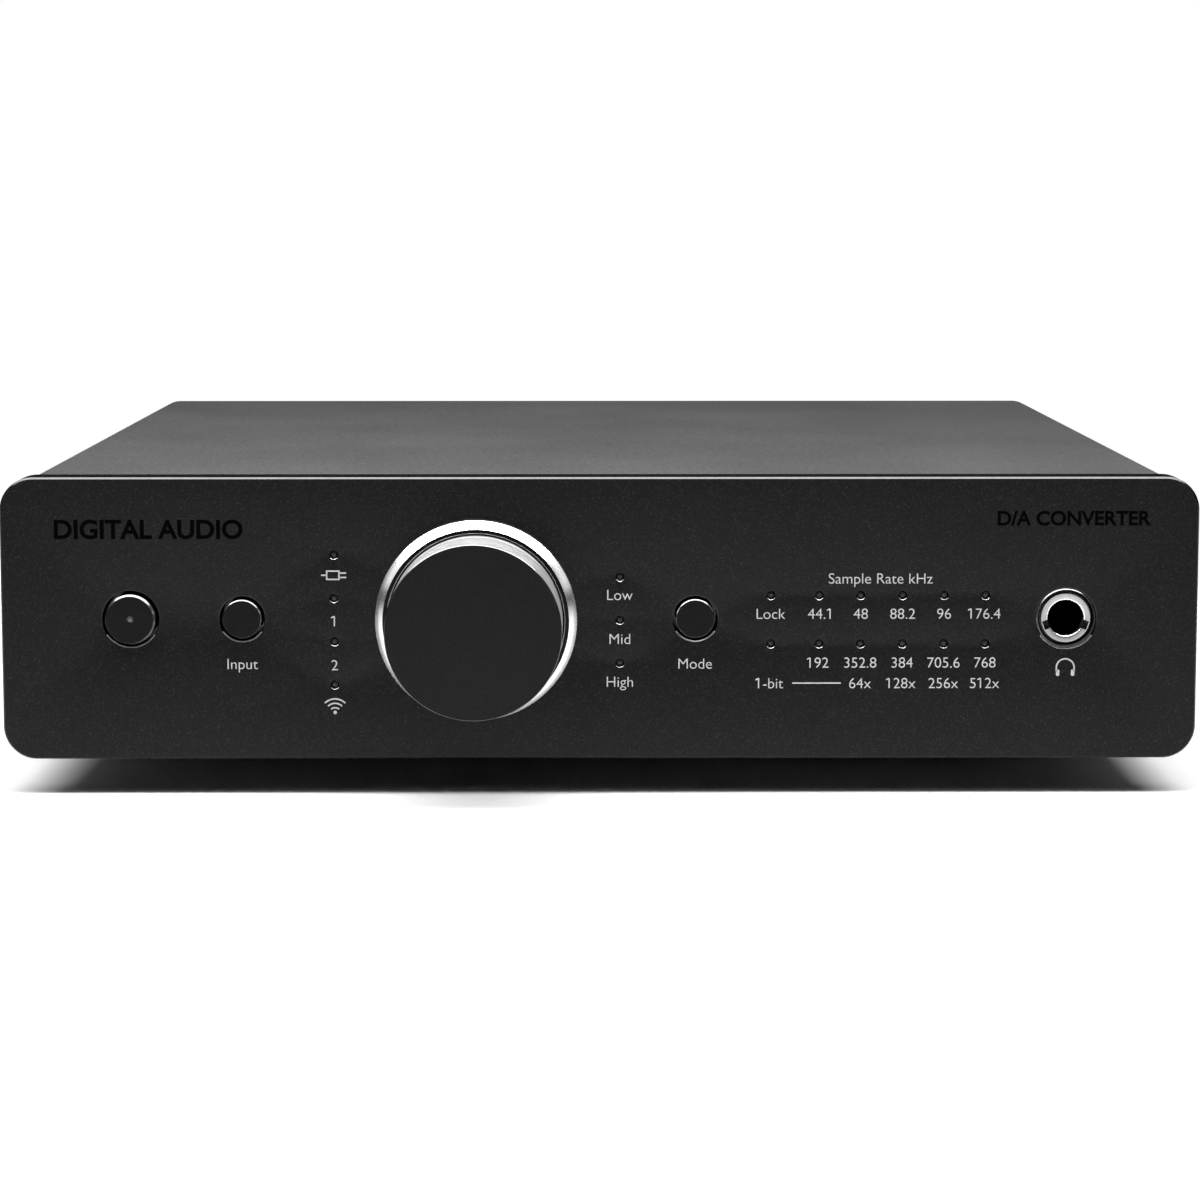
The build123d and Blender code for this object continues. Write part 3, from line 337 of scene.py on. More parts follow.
class Piece:
    """A mesh in the making.

    Shapes are drawn in millimetres on a face of the object: u to the right and v up as one
    looks at that face, and w out of it, from the spot last given to at().
    """

    def __init__(self, name, *materials):
        self.name = name
        self.materials = materials
        self.bm = bmesh.new()
        self.at()

    def at(self, x=0, y=face_y, z=mid_z, facing="front"):
        """Moves the spot, which starts in the middle of the front panel's face."""
        self.spot = Vector((x, y, z))
        self.u, self.v, self.w = (Vector(a) for a in AXES[facing])
        return self

    def vert(self, u, v, w):
        return self.bm.verts.new((self.spot + self.u * u + self.v * v + self.w * w) * MM)

    def ring(self, points, w):
        return [self.vert(u, v, w) for u, v in points]

    def face(self, verts, slot=0):
        made = self.bm.faces.new(verts)
        made.material_index = slot
        made.smooth = True
        return made

    def strip(self, a, b, slot=0, closed=True):
        """Quads between two rings of as many vertices."""
        count = len(a)
        for i in range(count if closed else count - 1):
            j = (i + 1) % count
            self.face((a[i], a[j], b[j], b[i]), slot)

    def skin(self, rings, slot=0, closed=False):
        """Walls from each ring to the next, and from the last to the first if closed."""
        for a, b in zip(rings, rings[1:] + rings[:1] if closed else rings[1:]):
            self.strip(a, b, slot)

    def fill(self, rings, slot=0):
        """A flat face bounded by the first ring, with the others as holes in it."""
        if len(rings) == 1:
            self.face(rings[0], slot).smooth = False
            return
        edges = []
        for ring in rings:
            for a, b in zip(ring, ring[1:] + ring[:1]):
                edges.append(self.bm.edges.get((a, b)) or self.bm.edges.new((a, b)))
        made = bmesh.ops.triangle_fill(self.bm, use_beauty=True, use_dissolve=False, edges=edges)
        for item in made["geom"]:
            if isinstance(item, bmesh.types.BMFace):
                item.material_index = slot
                item.smooth = False

    def lathe(self, profile, segments=96, slots=None, closed=False):
        """Turns a profile of (w, radius) about the spot's axis. A radius of 0 closes the form.

        slots gives the material of each stretch of the profile.
        """
        rings = []
        for w, radius in profile:
            if radius == 0:
                rings.append([self.vert(0, 0, w)])
            else:
                steps = [2 * pi * i / segments for i in range(segments)]
                rings.append([self.vert(radius * cos(a), radius * sin(a), w) for a in steps])
        pairs = list(zip(rings, rings[1:] + rings[:1] if closed else rings[1:]))
        for i, (a, b) in enumerate(pairs):
            slot = slots[i] if slots else 0
            if len(a) == 1 and len(b) == 1:
                continue
            if len(a) == 1 or len(b) == 1:
                tip, ring = (a[0], b) if len(a) == 1 else (b[0], a)
                for p, q in zip(ring, ring[1:] + ring[:1]):
                    self.face((tip, p, q), slot)
            else:
                self.strip(a, b, slot)

    def prism(self, outline, w0, w1, slot=0, edge=0.0, holes=(), edge_slot=None):
        """A plate from w0, its outer side, in to w1, with a chamfer of edge round w0.

        outline and each hole's are functions of how far they are drawn in. A hole is
        (outline, chamfer).
        """
        edge_slot = slot if edge_slot is None else edge_slot
        sign = 1 if w1 > w0 else -1
        fronts, backs = [], []
        shapes = [(outline, edge, 1)] + [(hole, cut, HOLE_STEPS) for hole, cut in holes]
        for shape, cut, steps in shapes:
            rings = [self.ring(shape(0.0), w1)]
            for i in range(steps + 1 if cut else 1):
                a = pi / 2 * i / steps
                inset = cut * (1 - cos(a)) * (1 if steps == 1 else -1)
                rings.append(self.ring(shape(inset), w0 + sign * cut * (1 - sin(a))))
            for i, (a, b) in enumerate(zip(rings, rings[1:])):
                self.strip(a, b, edge_slot if i else slot)
            backs.append(rings[0])
            fronts.append(rings[-1])
        self.fill(fronts, slot)
        self.fill(backs, slot)

    def through(self, holes, near, far, slot=0):
        """Walls of the holes from near to far. Gives their rims at both ends."""
        nears, fars = ([self.ring(hole(), w) for hole in holes] for w in (near, far))
        for a, b in zip(nears, fars):
            self.strip(a, b, slot)
        return nears, fars

    def block(self, outer, mouth, length, depth, cut, lip):
        """A block of that length, sunk into the face, with a blind mouth of that depth.

        cut and lip are the chamfers of its outer edge and of the mouth's. Gives the ring at
        the mouth's foot, which is left open.
        """
        sides = [self.ring(outer(cut), 0), self.ring(outer(0.0), -cut)]
        sides.append(self.ring(outer(0.0), -length))
        walls = [self.ring(mouth(-lip), 0), self.ring(mouth(0.0), -lip)]
        walls.append(self.ring(mouth(0.0), -depth))
        self.skin(sides)
        self.skin(walls)
        self.fill([sides[0], walls[0]])
        self.fill([sides[-1]])
        return walls[-1]

    def stroke(self, points, width, closed):
        """A printed line of that width along points."""
        count = len(points)
        left, right = [], []
        for i, p in enumerate(points):
            p = Vector(p)
            before = Vector(points[i - 1]) if closed or i else None
            after = Vector(points[(i + 1) % count]) if closed or i < count - 1 else None
            a = (p - before).normalized() if before is not None else (after - p).normalized()
            b = (after - p).normalized() if after is not None else a
            side = Vector((-a.y, a.x)) + Vector((-b.y, b.x))
            side = side / max(side.dot(side) / 2, 0.5) * width / 2
            left.append(p + side)
            right.append(p - side)
        section = []
        for line, w in ((left, PROUD), (right, PROUD), (right, SUNK), (left, SUNK)):
            section.append(self.ring(line, w))
        for a, b in zip(section, section[1:] + section[:1]):
            self.strip(a, b, closed=closed)
        if not closed:
            for i in (0, -1):
                self.face([line[i] for line in section])

    def letters(self, text, u, v, height=CAP, align="CENTER", bold=0.0):
        """Printed text with its baseline at v and capitals of that height."""
        places, faces = text_shape(text, bold)
        right = max(place.x for place in places)
        middle = (min(place.x for place in places) + right) / 2
        start = {"LEFT": 0.0, "CENTER": middle, "RIGHT": right}[align]
        scale = height / CAPITAL

        def spot(x, y):
            return u + (x - start) * scale, v + y * scale

        verts = [self.vert(*spot(p.x, p.y), PROUD if p.z > 0 else SUNK) for p in places]
        for face in faces:
            corners = [verts[i] for i in face]
            if len(set(corners)) == len(corners) and not self.bm.faces.get(corners):
                self.face(corners).smooth = False
        # The font's 1 is a bare stem, so each one is given its flag
        stem = [place.x for place in text_shape("1", bold)[0]]
        for i, mark in enumerate(text):
            if mark == "1":
                end = max(place.x for place in text_shape(text[: i + 1], bold)[0])
                left = end - max(stem) + min(stem)
                self.prism(polygon([spot(left + x, y) for x, y in FLAG]), PROUD, SUNK)

    def done(self, slot, *nodes, body=CHASSIS, angle=28):
        """Makes the object, rides it on its body and hides the CAD nodes it stands for."""
        bmesh.ops.remove_doubles(self.bm, verts=self.bm.verts, dist=1e-7)
        bmesh.ops.recalc_face_normals(self.bm, faces=self.bm.faces)
        mesh = bpy.data.meshes.new(self.name)
        self.bm.to_mesh(mesh)
        self.bm.free()
        for key in self.materials:
            mesh.materials.append(MAT[key])
        mesh.set_sharp_from_angle(angle=radians(angle))
        piece = bpy.data.objects.new(self.name, mesh)
        bpy.context.scene.collection.objects.link(piece)
        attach(piece, body)
        if nodes:
            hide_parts(*nodes)


def rounded(u, v, w, h, r, steps=12):
    """Outline of a rounded rectangle about (u, v), as a function of how far it is drawn in."""

    def points(inset=0.0):
        made = []
        half_w, half_h, radius = w / 2 - inset, h / 2 - inset, max(r - inset, 0.005)
        for quarter, (right, up) in enumerate(((1, 1), (-1, 1), (-1, -1), (1, -1))):
            cu, cv = u + right * (half_w - radius), v + up * (half_h - radius)
            for i in range(steps + 1):
                a = (quarter + i / steps) * pi / 2
                made.append((cu + radius * cos(a), cv + radius * sin(a)))
        return made

    return points


def circle(u, v, r, steps=64):
    """Outline of a circle about (u, v), as a function of how far it is drawn in."""

    def points(inset=0.0):
        turns = [2 * pi * i / steps for i in range(steps)]
        return [(u + (r - inset) * cos(a), v + (r - inset) * sin(a)) for a in turns]

    return points


def text_shape(text, bold):
    """Vertices and faces of a text's solid, its capitals CAPITAL high, from x = 0 on."""
    curve = bpy.data.curves.new("letters", "FONT")
    curve.body = text
    curve.resolution_u = 6
    curve.extrude = 0.5
    curve.offset = bold
    shown = bpy.data.objects.new("letters", curve)
    bpy.context.scene.collection.objects.link(shown)
    depsgraph = bpy.context.evaluated_depsgraph_get()
    mesh = bpy.data.meshes.new_from_object(shown.evaluated_get(depsgraph))
    places = [vert.co.copy() for vert in mesh.vertices]
    faces = [tuple(face.vertices) for face in mesh.polygons]
    bpy.data.objects.remove(shown)
    bpy.data.curves.remove(curve)
    bpy.data.meshes.remove(mesh)
    return places, faces


def polygon(corners):
    """Outline of a convex polygon, as a function of how far it is drawn in."""

    def points(inset=0.0):
        made = []
        count = len(corners)
        for i in range(count):
            p, q, s = (Vector(corners[(i + k) % count]) for k in (-1, 0, 1))
            a, b = (q - p).normalized(), (s - q).normalized()
            side = Vector((-a.y, a.x)) + Vector((-b.y, b.x))
            shift = side / (side.dot(side) / 2) * inset
            made.append(tuple(q + shift))
        return made

    return points


def hexagon(flats):
    radius = flats / sqrt(3)
    return polygon([(radius * cos(pi / 3 * i), radius * sin(pi / 3 * i)) for i in range(6)])


def cross(reach, width):
    """Outline of a screw's cross recess."""
    a, b = reach, width / 2
    arm = [(a, -b), (a, b), (b, b)]
    corners = []
    for _ in range(4):
        corners += arm
        arm = [(-y, x) for x, y in arm]

    def points(inset=0.0):
        shrink = 1 - inset / reach
        return [(x * shrink, y * shrink) for x, y in corners]

    return points


def arc(u, v, radius, start, end, steps=24):
    turns = [radians(start + (end - start) * i / steps) for i in range(steps + 1)]
    return [(u + radius * cos(a), v + radius * sin(a)) for a in turns]


def smooth_edge(w, r, size, steps=5):
    """Profile of a rounded outer edge, from the side at radius r to the flat at w."""
    turns = [pi / 2 * i / steps for i in range(steps + 1)]
    return [(w - size + size * sin(a), r - size + size * cos(a)) for a in turns]


def add_screw(piece, head_r, shank_r, length, recess_slot=0):
    """Pan-head screw out along w from the spot, with a cross recess in its head."""
    head_t, segments = 2.0, 48
    top = smooth_edge(head_t, head_r, head_t * 0.55, 6)
    shank = [(-length, 0), (-length, shank_r * 0.8), (-length + 0.5, shank_r), (0, shank_r)]
    piece.lathe(shank + [(0, head_r)] + top[:1], segments)
    rings = [piece.ring(circle(0, 0, r, segments)(), w) for w, r in top]
    piece.skin(rings)
    reach = top[-1][1] * 0.86
    mouth = cross(reach, reach * 0.42)
    rim = piece.ring(mouth(0.0), head_t)
    foot = piece.ring(mouth(reach * 0.35), head_t * 0.35)
    piece.strip(rim, foot, recess_slot)
    piece.fill([foot], recess_slot)
    piece.fill([rings[-1], rim])


# ---- sizes and places, as in the CAD model, but for the two roundings of hole edges
HOLE_EDGE, LIGHT_EDGE = 0.24, 0.07
PANEL_CORNER, PANEL_EDGE = 6.0, 0.3
WALL, SCREW_R, FOOT_R = 1.6, 1.5, 9.0
CHANNEL_R, CHANNEL_IN = 3.2, 2.95  # screw channels, and how far in from the sleeve's walls
XLR_PLATE, XLR_BODY = (26.0, 31.0), 10.5
XLR_SCREW = (9.5, 12.0)  # from the socket's middle
PHONO_BODY, ANTENNA_BODY = 4.0, 3.1
LIGHT_HOLE, LIGHT_ROD, LIGHT_RECESS = 0.8, 0.62, 0.2
POWER_R, KEY_R, BUTTON_GAP = 4.5, 3.5, 0.5
STEM_END, STEM_R = -11.5, 1.75  # of a button's stem, behind the panel's face
BUSH_HOLE = 3.6  # radius, for the rotary control's shaft
PHONES_HOLE, PHONES_BUSH, PHONES_BORE = 5.4, 4.5, 3.25
INPUT_ROWS = (11.6, 3.73, -4.14, -12.0)
MODE_ROWS = (7.55, -0.25, -8.05)
RATE_COLUMNS = (30.7, 39.4, 46.85, 54.4, 61.85, 69.3)
RATE_ROWS = (4.2, -4.6)

ring = Box("knob_ring")
power = Box("power_button")
source = Box("source_button")
mode = Box("filter_button")
inputs = Box("input_light_guide")
modes = Box("filter_light_guide")
rates = Box("rate_light_guide")
phones = Box("headphone_bush")
xlr = Box("xlr_sockets")
usb = Box("usb_socket")
dc = Box("dc_inlet")
antenna = Box("antenna_socket")
panel_t = panel.size.y

# Centres of the screw channels in the sleeve's corners, as (x, z)
CHANNELS = [
    (u * (sleeve.size.x / 2 - WALL - CHANNEL_IN), mid_z + v * (sleeve.size.z / 2 - WALL - CHANNEL_IN))
    for u in (-1, 1)
    for v in (-1, 1)
]

# Middles of the sockets at the rear, and of the balanced outputs' screws, as (x, z)
XLR_X = (xlr.high.x - XLR_PLATE[0] / 2, xlr.low.x + XLR_PLATE[0] / 2)
XLR_SCREWS = [
    (x + side * XLR_SCREW[0], mid_z + side * XLR_SCREW[1]) for x in XLR_X for side in (-1, 1)
]
PHONO = ((22.0, 41.0), (22.0, 23.0), (-2.0, 40.0), (-22.0, 40.0))
OPTICAL_X = (-2.0, -22.0)

light_spots = [(inputs.mid.x, v) for v in INPUT_ROWS]
light_spots += [(modes.mid.x, v) for v in MODE_ROWS]
light_spots += [(u, v) for v in RATE_ROWS for u in RATE_COLUMNS]


# ---- front panel and case
def add_panel():
    piece = Piece("front_panel_plate", "panel", "cut_edge", "painted_highlight_rim")
    caps = ((power, POWER_R), (source, KEY_R), (mode, KEY_R))
    holes = [(circle(knob.mid.x, 0, BUSH_HOLE), 0.0)]
    for box, r in caps:
        holes.append((circle(box.mid.x, 0, r + BUTTON_GAP, 96), HOLE_EDGE))
    holes.append((circle(phones.mid.x, 0, PHONES_HOLE, 96), HOLE_EDGE))
    holes += [(circle(u, v, LIGHT_HOLE, 32), LIGHT_EDGE) for u, v in light_spots]
    outline = rounded(0, 0, panel.size.x, panel.size.z, PANEL_CORNER, 24)
    piece.prism(outline, 0, -panel_t, 0, PANEL_EDGE, holes, edge_slot=1)
    # The lower edge of each hole, where light from above and ahead falls, takes a bright metal and
    # the rest of the rim the dark one: a painted highlight
    spots = [(box.mid.x, 0, r + BUTTON_GAP) for box, r in caps]
    spots += [(phones.mid.x, 0, PHONES_HOLE)] + [(u, v, LIGHT_HOLE) for u, v in light_spots]
    for face in piece.bm.faces:
        if face.material_index == 1:
            spot = face.calc_center_median() / MM
            for u, v, r in spots:
                across, up = spot.x - u, spot.z - mid_z - v
                if abs(across) < 2 * r and -2 * r < up < -0.58 * r:
                    face.material_index = 2
    piece.done("panel_aluminium", "front_panel")


def add_sleeve():
    """Wrapped sleeve with rounded long edges, a thin rolled lip at its rear and screw channels."""
    corner, lip = 5.5, 0.4
    piece = Piece("case_sleeve_shell", "sleeve").at(y=sleeve.low.y)
    depth = -sleeve.size.y
    w, h = sleeve.size.x, sleeve.size.z
    outer = rounded(0, 0, w, h, corner, 24)
    inner = rounded(0, 0, w - 2 * WALL, h - 2 * WALL, corner - WALL, 24)
    stations = [(outer, 0.0, 0), (outer, 0.0, depth + lip), (outer, lip * 0.3, depth + lip * 0.3)]
    stations += [(outer, lip, depth), (inner, -lip * 0.5, depth), (inner, 0.0, depth + lip * 0.5)]
    stations.append((inner, 0.0, 0))
    piece.skin([piece.ring(outline(inset), at) for outline, inset, at in stations], closed=True)
    for x, z in CHANNELS:
        channel = circle(x, z - mid_z, CHANNEL_R, 40)
        hole = circle(x, z - mid_z, SCREW_R, 24)
        piece.prism(channel, depth + 2.6, 0, holes=[(hole, 0.0)])
    piece.done("sleeve_aluminium", "case_sleeve")


def add_feet():
    piece = Piece("feet_moulded", "rubber")
    screws = Piece("foot_screws_headed", "zinc", "black_steel")
    feet = Box("feet")
    h = feet.high.z
    # Tread of two shallow grooves under each foot, then the recess for its screw
    tread = []
    for r in (8.0, 6.4):
        tread += [(0, r), (-0.35, r - 0.2), (-0.35, r - 0.7), (0, r - 0.9)]
    recess = [(0, 4.7), (-0.2, 4.5), (-3.0, 4.5), (-3.0, 2.0)]
    for x in (feet.low.x + FOOT_R, feet.high.x - FOOT_R):
        for y in (feet.low.y + FOOT_R, feet.high.y - FOOT_R):
            piece.at(x, y, 0, "down")
            profile = [(-h, 2.0), (-h, FOOT_R - 0.2), (-h + 0.4, FOOT_R)]
            profile += smooth_edge(0, FOOT_R, 0.8) + tread + recess
            piece.lathe(profile, 72, closed=True)
            add_screw(screws.at(x, y, 3.0, "down"), 3.6, 2.0, 8.4, recess_slot=1)
    piece.done("foot_rubber", "feet")
    screws.done("screw_zinc", "foot_screws")


# ---- rotary control
def add_knob():
    reach = face_y - knob.low.y
    back = face_y - knob.high.y
    piece = Piece("knob_turned", "knob_face", "bright_edge", "knob_side", "painted_shade_and_dark_face")
    piece.at(knob.mid.x)
    r, edge = knob.size.x / 2, 0.11
    groove, cut = 5.2, 0.08
    profile = [(reach, 0), (reach, 4.0), (reach, 8.0), (reach, 12.0), (reach, r - edge)]
    profile += [(reach - edge, r), (groove + 0.4, r), (groove + 0.4, r - 0.35), (groove, r - 0.35)]
    profile += [(groove, r - cut), (groove - cut, r), (back + 0.2, r), (back, r - 0.2), (back, 12.0)]
    profile += [(5.5, 12.0), (5.5, 3.0), (12.5, 3.0), (12.5, 0)]
    # The groove's walls and floor and the hollow behind take the near-black metal: painted shade
    slots = [0, 0, 0, 0, 1, 2, 3, 3, 3, 1, 2, 2, 2, 2, 3, 3, 3]
    piece.lathe(profile, 192, slots)
    piece.done("knob_aluminium", "knob", body="volume_knob", angle=20)


def add_ring():
    piece = Piece("knob_ring_polished", "ring_polish", "painted_shade_and_dark_face").at(knob.mid.x)
    base, front, bore, reach, floor = ring.size.x / 2, 16.65, 15.85, 3.7, 0.8
    # The bevel is slightly crowned: 42, 46 and 50 degrees in three steps
    steps = [radians(a) for a in (42, 46, 50)]
    step = (base - front) / sum(sin(a) for a in steps)
    bevel = [(reach, front)]
    for a in reversed(steps):
        w, r = bevel[0]
        bevel.insert(0, (w - step * cos(a), r + step * sin(a)))
    profile = [(floor, 3.5), (0, 3.5), (0, base)] + bevel
    profile += [(reach, bore + 0.13), (reach - 0.13, bore), (floor, bore)]
    # The front face takes the near-black metal as its own dark finish; the bore, across a narrow gap
    # from the knob, and the back take it as painted shade
    slots = [1, 1, 0, 0, 0, 0, 1, 0, 1, 1]
    piece.lathe(profile, 192, slots, closed=True)
    piece.done("ring_chrome", "knob_ring", angle=12)


# ---- buttons
def add_button(kind, box, r, edge, core=0.0):
    out = face_y - box.low.y
    piece = Piece(f"{kind}_button_cap", "button", "bright_edge", "dark_metal")
    piece.at(box.mid.x)
    stop = -panel_t - 0.3
    profile = [(out, core), (out, r * 0.5), (out, r - edge), (out - edge, r), (stop, r)]
    profile += [(stop, r + 1.2), (stop - 1.0, r + 1.2), (stop - 1.0, STEM_R)]
    profile += [(STEM_END, STEM_R), (STEM_END, core)]
    piece.lathe(profile, 128, [0, 0, 1, 0, 2, 2, 2, 2, 2, 2], closed=bool(core))
    piece.done("button_aluminium", f"{kind}_button", body=f"{kind}_key", angle=20)


def add_buttons():
    add_button("power", power, POWER_R, 0.3, core=0.65)
    add_button("source", source, KEY_R, 0.16)
    add_button("filter", mode, KEY_R, 0.16)
    light = Piece("power_light_lens", "lens_pale").at(power.mid.x)
    out = face_y - power.low.y
    dome = [(out - 0.12, 0), (out - 0.14, 0.3), (out - 0.2, 0.5), (out - 0.3, 0.64)]
    light.lathe(dome + [(STEM_END, 0.64), (STEM_END, 0)], 40)
    light.done("light_clear", "power_light_guide", body="power_key")


# ---- indicator lights
def add_lights(name, box, spots, node):
    """A clear moulding behind the panel with a domed rod in each light's hole."""
    piece = Piece(name, "lens")
    w, h = box.size.x, box.size.z
    plate = rounded(box.mid.x, box.mid.z - mid_z, w, h, 0.8, 6)
    piece.prism(plate, -panel_t, -panel_t - 1.5)
    end = face_y - box.high.y
    for u, v in spots:
        piece.at(u, z=mid_z + v)
        radii = (0.0, 0.2, 0.36, 0.48, 0.57, LIGHT_ROD)
        tip = [(-LIGHT_RECESS - 0.35 * (r / LIGHT_ROD) ** 2.5, r) for r in radii]
        piece.lathe(tip + [(-panel_t, LIGHT_ROD)], 32)
        piece.lathe([(-panel_t - 1.5, LIGHT_ROD), (end, LIGHT_ROD), (end, 0)], 32)
    piece.done("light_clear", node)


def add_all_lights():
    add_lights("input_lenses", inputs, light_spots[:4], "input_light_guide")
    add_lights("mode_lenses", modes, light_spots[4:7], "filter_light_guide")
    add_lights("rate_lenses", rates, light_spots[7:], "rate_light_guide")


# ---- headphone socket
def add_headphone_socket():
    """Chromed bush with two wrench notches open to its bore, in a dark dished collar."""
    piece = Piece("headphone_bush_chromed", "chrome_satin", "ring_polish", "painted_shade_and_dark_face")
    piece.at(phones.mid.x)
    front, back, edge = -0.3, face_y - phones.high.y, 0.1
    # The notches: how deep and half as wide, and from where to where they reach
    depth, half_w, inner, outer = 1.2, 0.8, 3.1, 4.22
    lip_r = 0.22
    spread = degrees(atan(half_w / PHONES_BORE))

    def corner(turn, r, side, w):
        """A notch's corner, at a distance along the notch and to one side of its middle."""
        c = radians(turn)
        u, v = r * cos(c) - side * sin(c), r * sin(c) + side * cos(c)
        return piece.vert(u, v, w)

    def bore(radius, w):
        """Outline of the bore with the notches in it."""
        made = []
        for start, end in ((200, 340), (-20, 200)):
            around = arc(0, 0, radius, start + spread, end - spread, 40)
            made += [piece.vert(u, v, w) for u, v in around]
            made += [corner(end, outer, side, w) for side in (-half_w, half_w)]
        return made

    lips = []
    for i in range(5):
        a = pi / 2 * i / 4
        lips.append(bore(PHONES_BORE + lip_r * (1 - sin(a)), front - lip_r * (1 - cos(a))))
    shelf = bore(PHONES_BORE, front - depth)
    piece.skin(lips + [shelf], 1)
    rim = []
    for inset, w in ((edge, front), (0.0, front - edge), (0.0, back)):
        rim.append(piece.ring(circle(0, 0, PHONES_BUSH - inset, 96)(), w))
    throat = piece.ring(circle(0, 0, PHONES_BORE, 96)(), front - depth)
    end = piece.ring(circle(0, 0, PHONES_BORE, 96)(), back)
    piece.skin(rim)
    # The deep bore takes the near-black metal: painted shade in the hole
    piece.strip(throat, end, 2)
    piece.fill([rim[0], lips[0]])
    piece.fill([rim[2], end])
    # Floors of the two notches, near black as painted shade
    for turn in (-20, 200):
        corners = ((outer, -half_w), (outer, half_w), (inner, half_w), (inner, -half_w))
        piece.face([corner(turn, r, side, front - depth) for r, side in corners], 2)
    piece.done("ring_chrome", "headphone_bush")

    collar = Piece("headphone_collar_ring", "collar", "bright_edge").at(phones.mid.x)
    flange, rear_w = PHONES_HOLE + 1.1, -panel_t - 1.5
    profile = [(0.1, PHONES_HOLE - 0.34), (0.1, PHONES_HOLE - 0.2), (-0.1, PHONES_HOLE)]
    profile += [(-panel_t, PHONES_HOLE), (-panel_t, flange), (rear_w, flange), (rear_w, PHONES_BUSH)]
    profile += [(-0.95, PHONES_BUSH), (-0.95, PHONES_BUSH + 0.15)]
    collar.lathe(profile, 96, [0, 1, 0, 0, 0, 0, 0, 0, 0], closed=True)
    collar.done("collar_black", "headphone_collar")


# ---- legends
def legend(name, words, strokes=(), blocks=(), look="print_light", bold=THINNED, rear_side=False):
    """Printed words as letters() takes them, lines as stroke() does, and filled outlines."""
    y, facing = (rear.high.y, "rear") if rear_side else (face_y, "front")
    piece = Piece(name, look).at(0, y, mid_z, facing)
    for word in words:
        piece.letters(*word, bold=bold)
    for line in strokes:
        piece.stroke(*line)
    for outline in blocks:
        piece.prism(outline, PROUD, SUNK)
    piece.done("rear_steel" if rear_side else "panel_aluminium")


def add_legends():
    left = inputs.mid.x
    under = -9.15
    # A plug for the first input, numbers for the next two, and waves for the wireless one
    plug = INPUT_ROWS[0] - 3.7
    sides = ((-1.3, -0.75), (0.9, -0.75), (0.9, 0.75), (-1.3, 0.75))
    strokes = [([(left + u, plug + v) for u, v in sides], LINE, True)]
    for start, end, v in ((0.9, 2.2, 0.4), (0.9, 2.2, -0.4), (-2.3, -1.3, 0)):
        strokes.append(([(left + start, plug + v), (left + end, plug + v)], LINE, False))
    wave = INPUT_ROWS[3] - 5.2
    for radius in (1.0, 1.8, 2.6):
        strokes.append((arc(left, wave, radius, 45, 135, 16), LINE, False))
    words = [("1", left, INPUT_ROWS[1] - 5.1), ("2", left, INPUT_ROWS[2] - 5.25)]
    legend("legend_inputs", words, strokes, [circle(left, wave + 0.15, 0.32, 24)])

    column = modes.mid.x
    words = [("Input", source.mid.x, under), ("Mode", mode.mid.x, under)]
    for text, row, drop in zip(("Low", "Mid", "High"), MODE_ROWS, (4.2, 4.4, 4.4)):
        words.append((text, column, row - drop))
    legend("legend_modes", words)

    rows = (RATE_ROWS[0] - 4.3, RATE_ROWS[1] - 4.4, RATE_ROWS[1] - 8.15)
    labels = (
        ("Lock", "44.1", "48", "88.2", "96", "176.4"),
        (None, "192", "352.8", "384", "705.6", "768"),
        ("1-bit", None, "64x", "128x", "256x", "512x"),
    )
    words = [("Sample Rate kHz", 50.4, RATE_ROWS[0] + 2.1)]
    for row, texts in zip(rows, labels):
        words += [(text, u, row) for text, u in zip(texts, RATE_COLUMNS) if text]
    dash = rows[2] + CAP / 2
    legend("legend_rates", words, [([(34.6, dash), (43.4, dash)], 0.24, False)])

    x, z = phones.mid.x, -9.35
    cups = [rounded(x + side * 1.35, z - 0.6, 0.62, 1.15, 0.25, 5) for side in (-1, 1)]
    band = [(x - 1.6, z - 0.4)] + arc(x, z + 0.35, 1.6, 180, 0, 24) + [(x + 1.6, z - 0.4)]
    legend("legend_headphones", (), [(band, LINE, False)], cups)

    words = [
        ("DIGITAL AUDIO", -98.0, 14.6, 3.3, "LEFT"),
        ("D/A CONVERTER", 98.8, 16.9, 2.5, "RIGHT"),
    ]
    legend("legend_gloss", words, look="print_dark", bold=0.028)


def add_rear_legends():
    words = [(text, -x, -19.8, 2.2) for x, text in zip(XLR_X, "LR")]
    for (x, z), text in zip(PHONO, "LR12"):
        words.append((text, -x + 8.3, z - mid_z - 1.0, 2.0))
    for x, text in zip(OPTICAL_X, "12"):
        words.append((text, -x + 7.4, Box("optical_socket_1").mid.z - mid_z - 1.0, 2.0))
    words.append(("5 V", -dc.mid.x, dc.mid.z - mid_z + 7.6, 1.8))
    legend("legend_rear", words, bold=0.0, rear_side=True)


# ---- rear panel
def add_rear_panel():
    """Set into the sleeve's rear end. u runs towards -X here."""
    piece = Piece("rear_panel_sheet", "rear_paint").at(0, rear.high.y, mid_z, "rear")
    holes = [(circle(-x, 0, XLR_BODY + 0.2, 96), 0.0) for x in XLR_X]
    holes += [(circle(-x, z - mid_z, PHONO_BODY, 48), 0.0) for x, z in PHONO]
    for node, w, h in (
        ("optical_socket_1", 10.2, 10.2),
        ("optical_socket_2", 10.2, 10.2),
        ("usb_socket", 12.2, 11.2),
        ("dc_inlet", 9.2, 11.2),
    ):
        spot = Box(node).mid
        holes.append((rounded(-spot.x, spot.z - mid_z, w, h, 0.15, 2), 0.0))
    holes.append((circle(-antenna.mid.x, 0, ANTENNA_BODY, 48), 0.0))
    holes += [(circle(-x, z - mid_z, SCREW_R, 24), 0.0) for x, z in XLR_SCREWS + CHANNELS]
    outline = rounded(0, 0, rear.size.x, rear.size.z, 3.8, 16)
    piece.prism(outline, 0, -rear.size.y, 0, 0.12, holes)
    piece.done("rear_steel", "rear_panel")

    screws = Piece("rear_panel_screws_headed", "black_steel")
    for x, z in CHANNELS:
        add_screw(screws.at(x, rear.high.y, z, "rear"), 2.5, SCREW_R, 9.0)
    screws.done("screw_black", "rear_panel_screws")


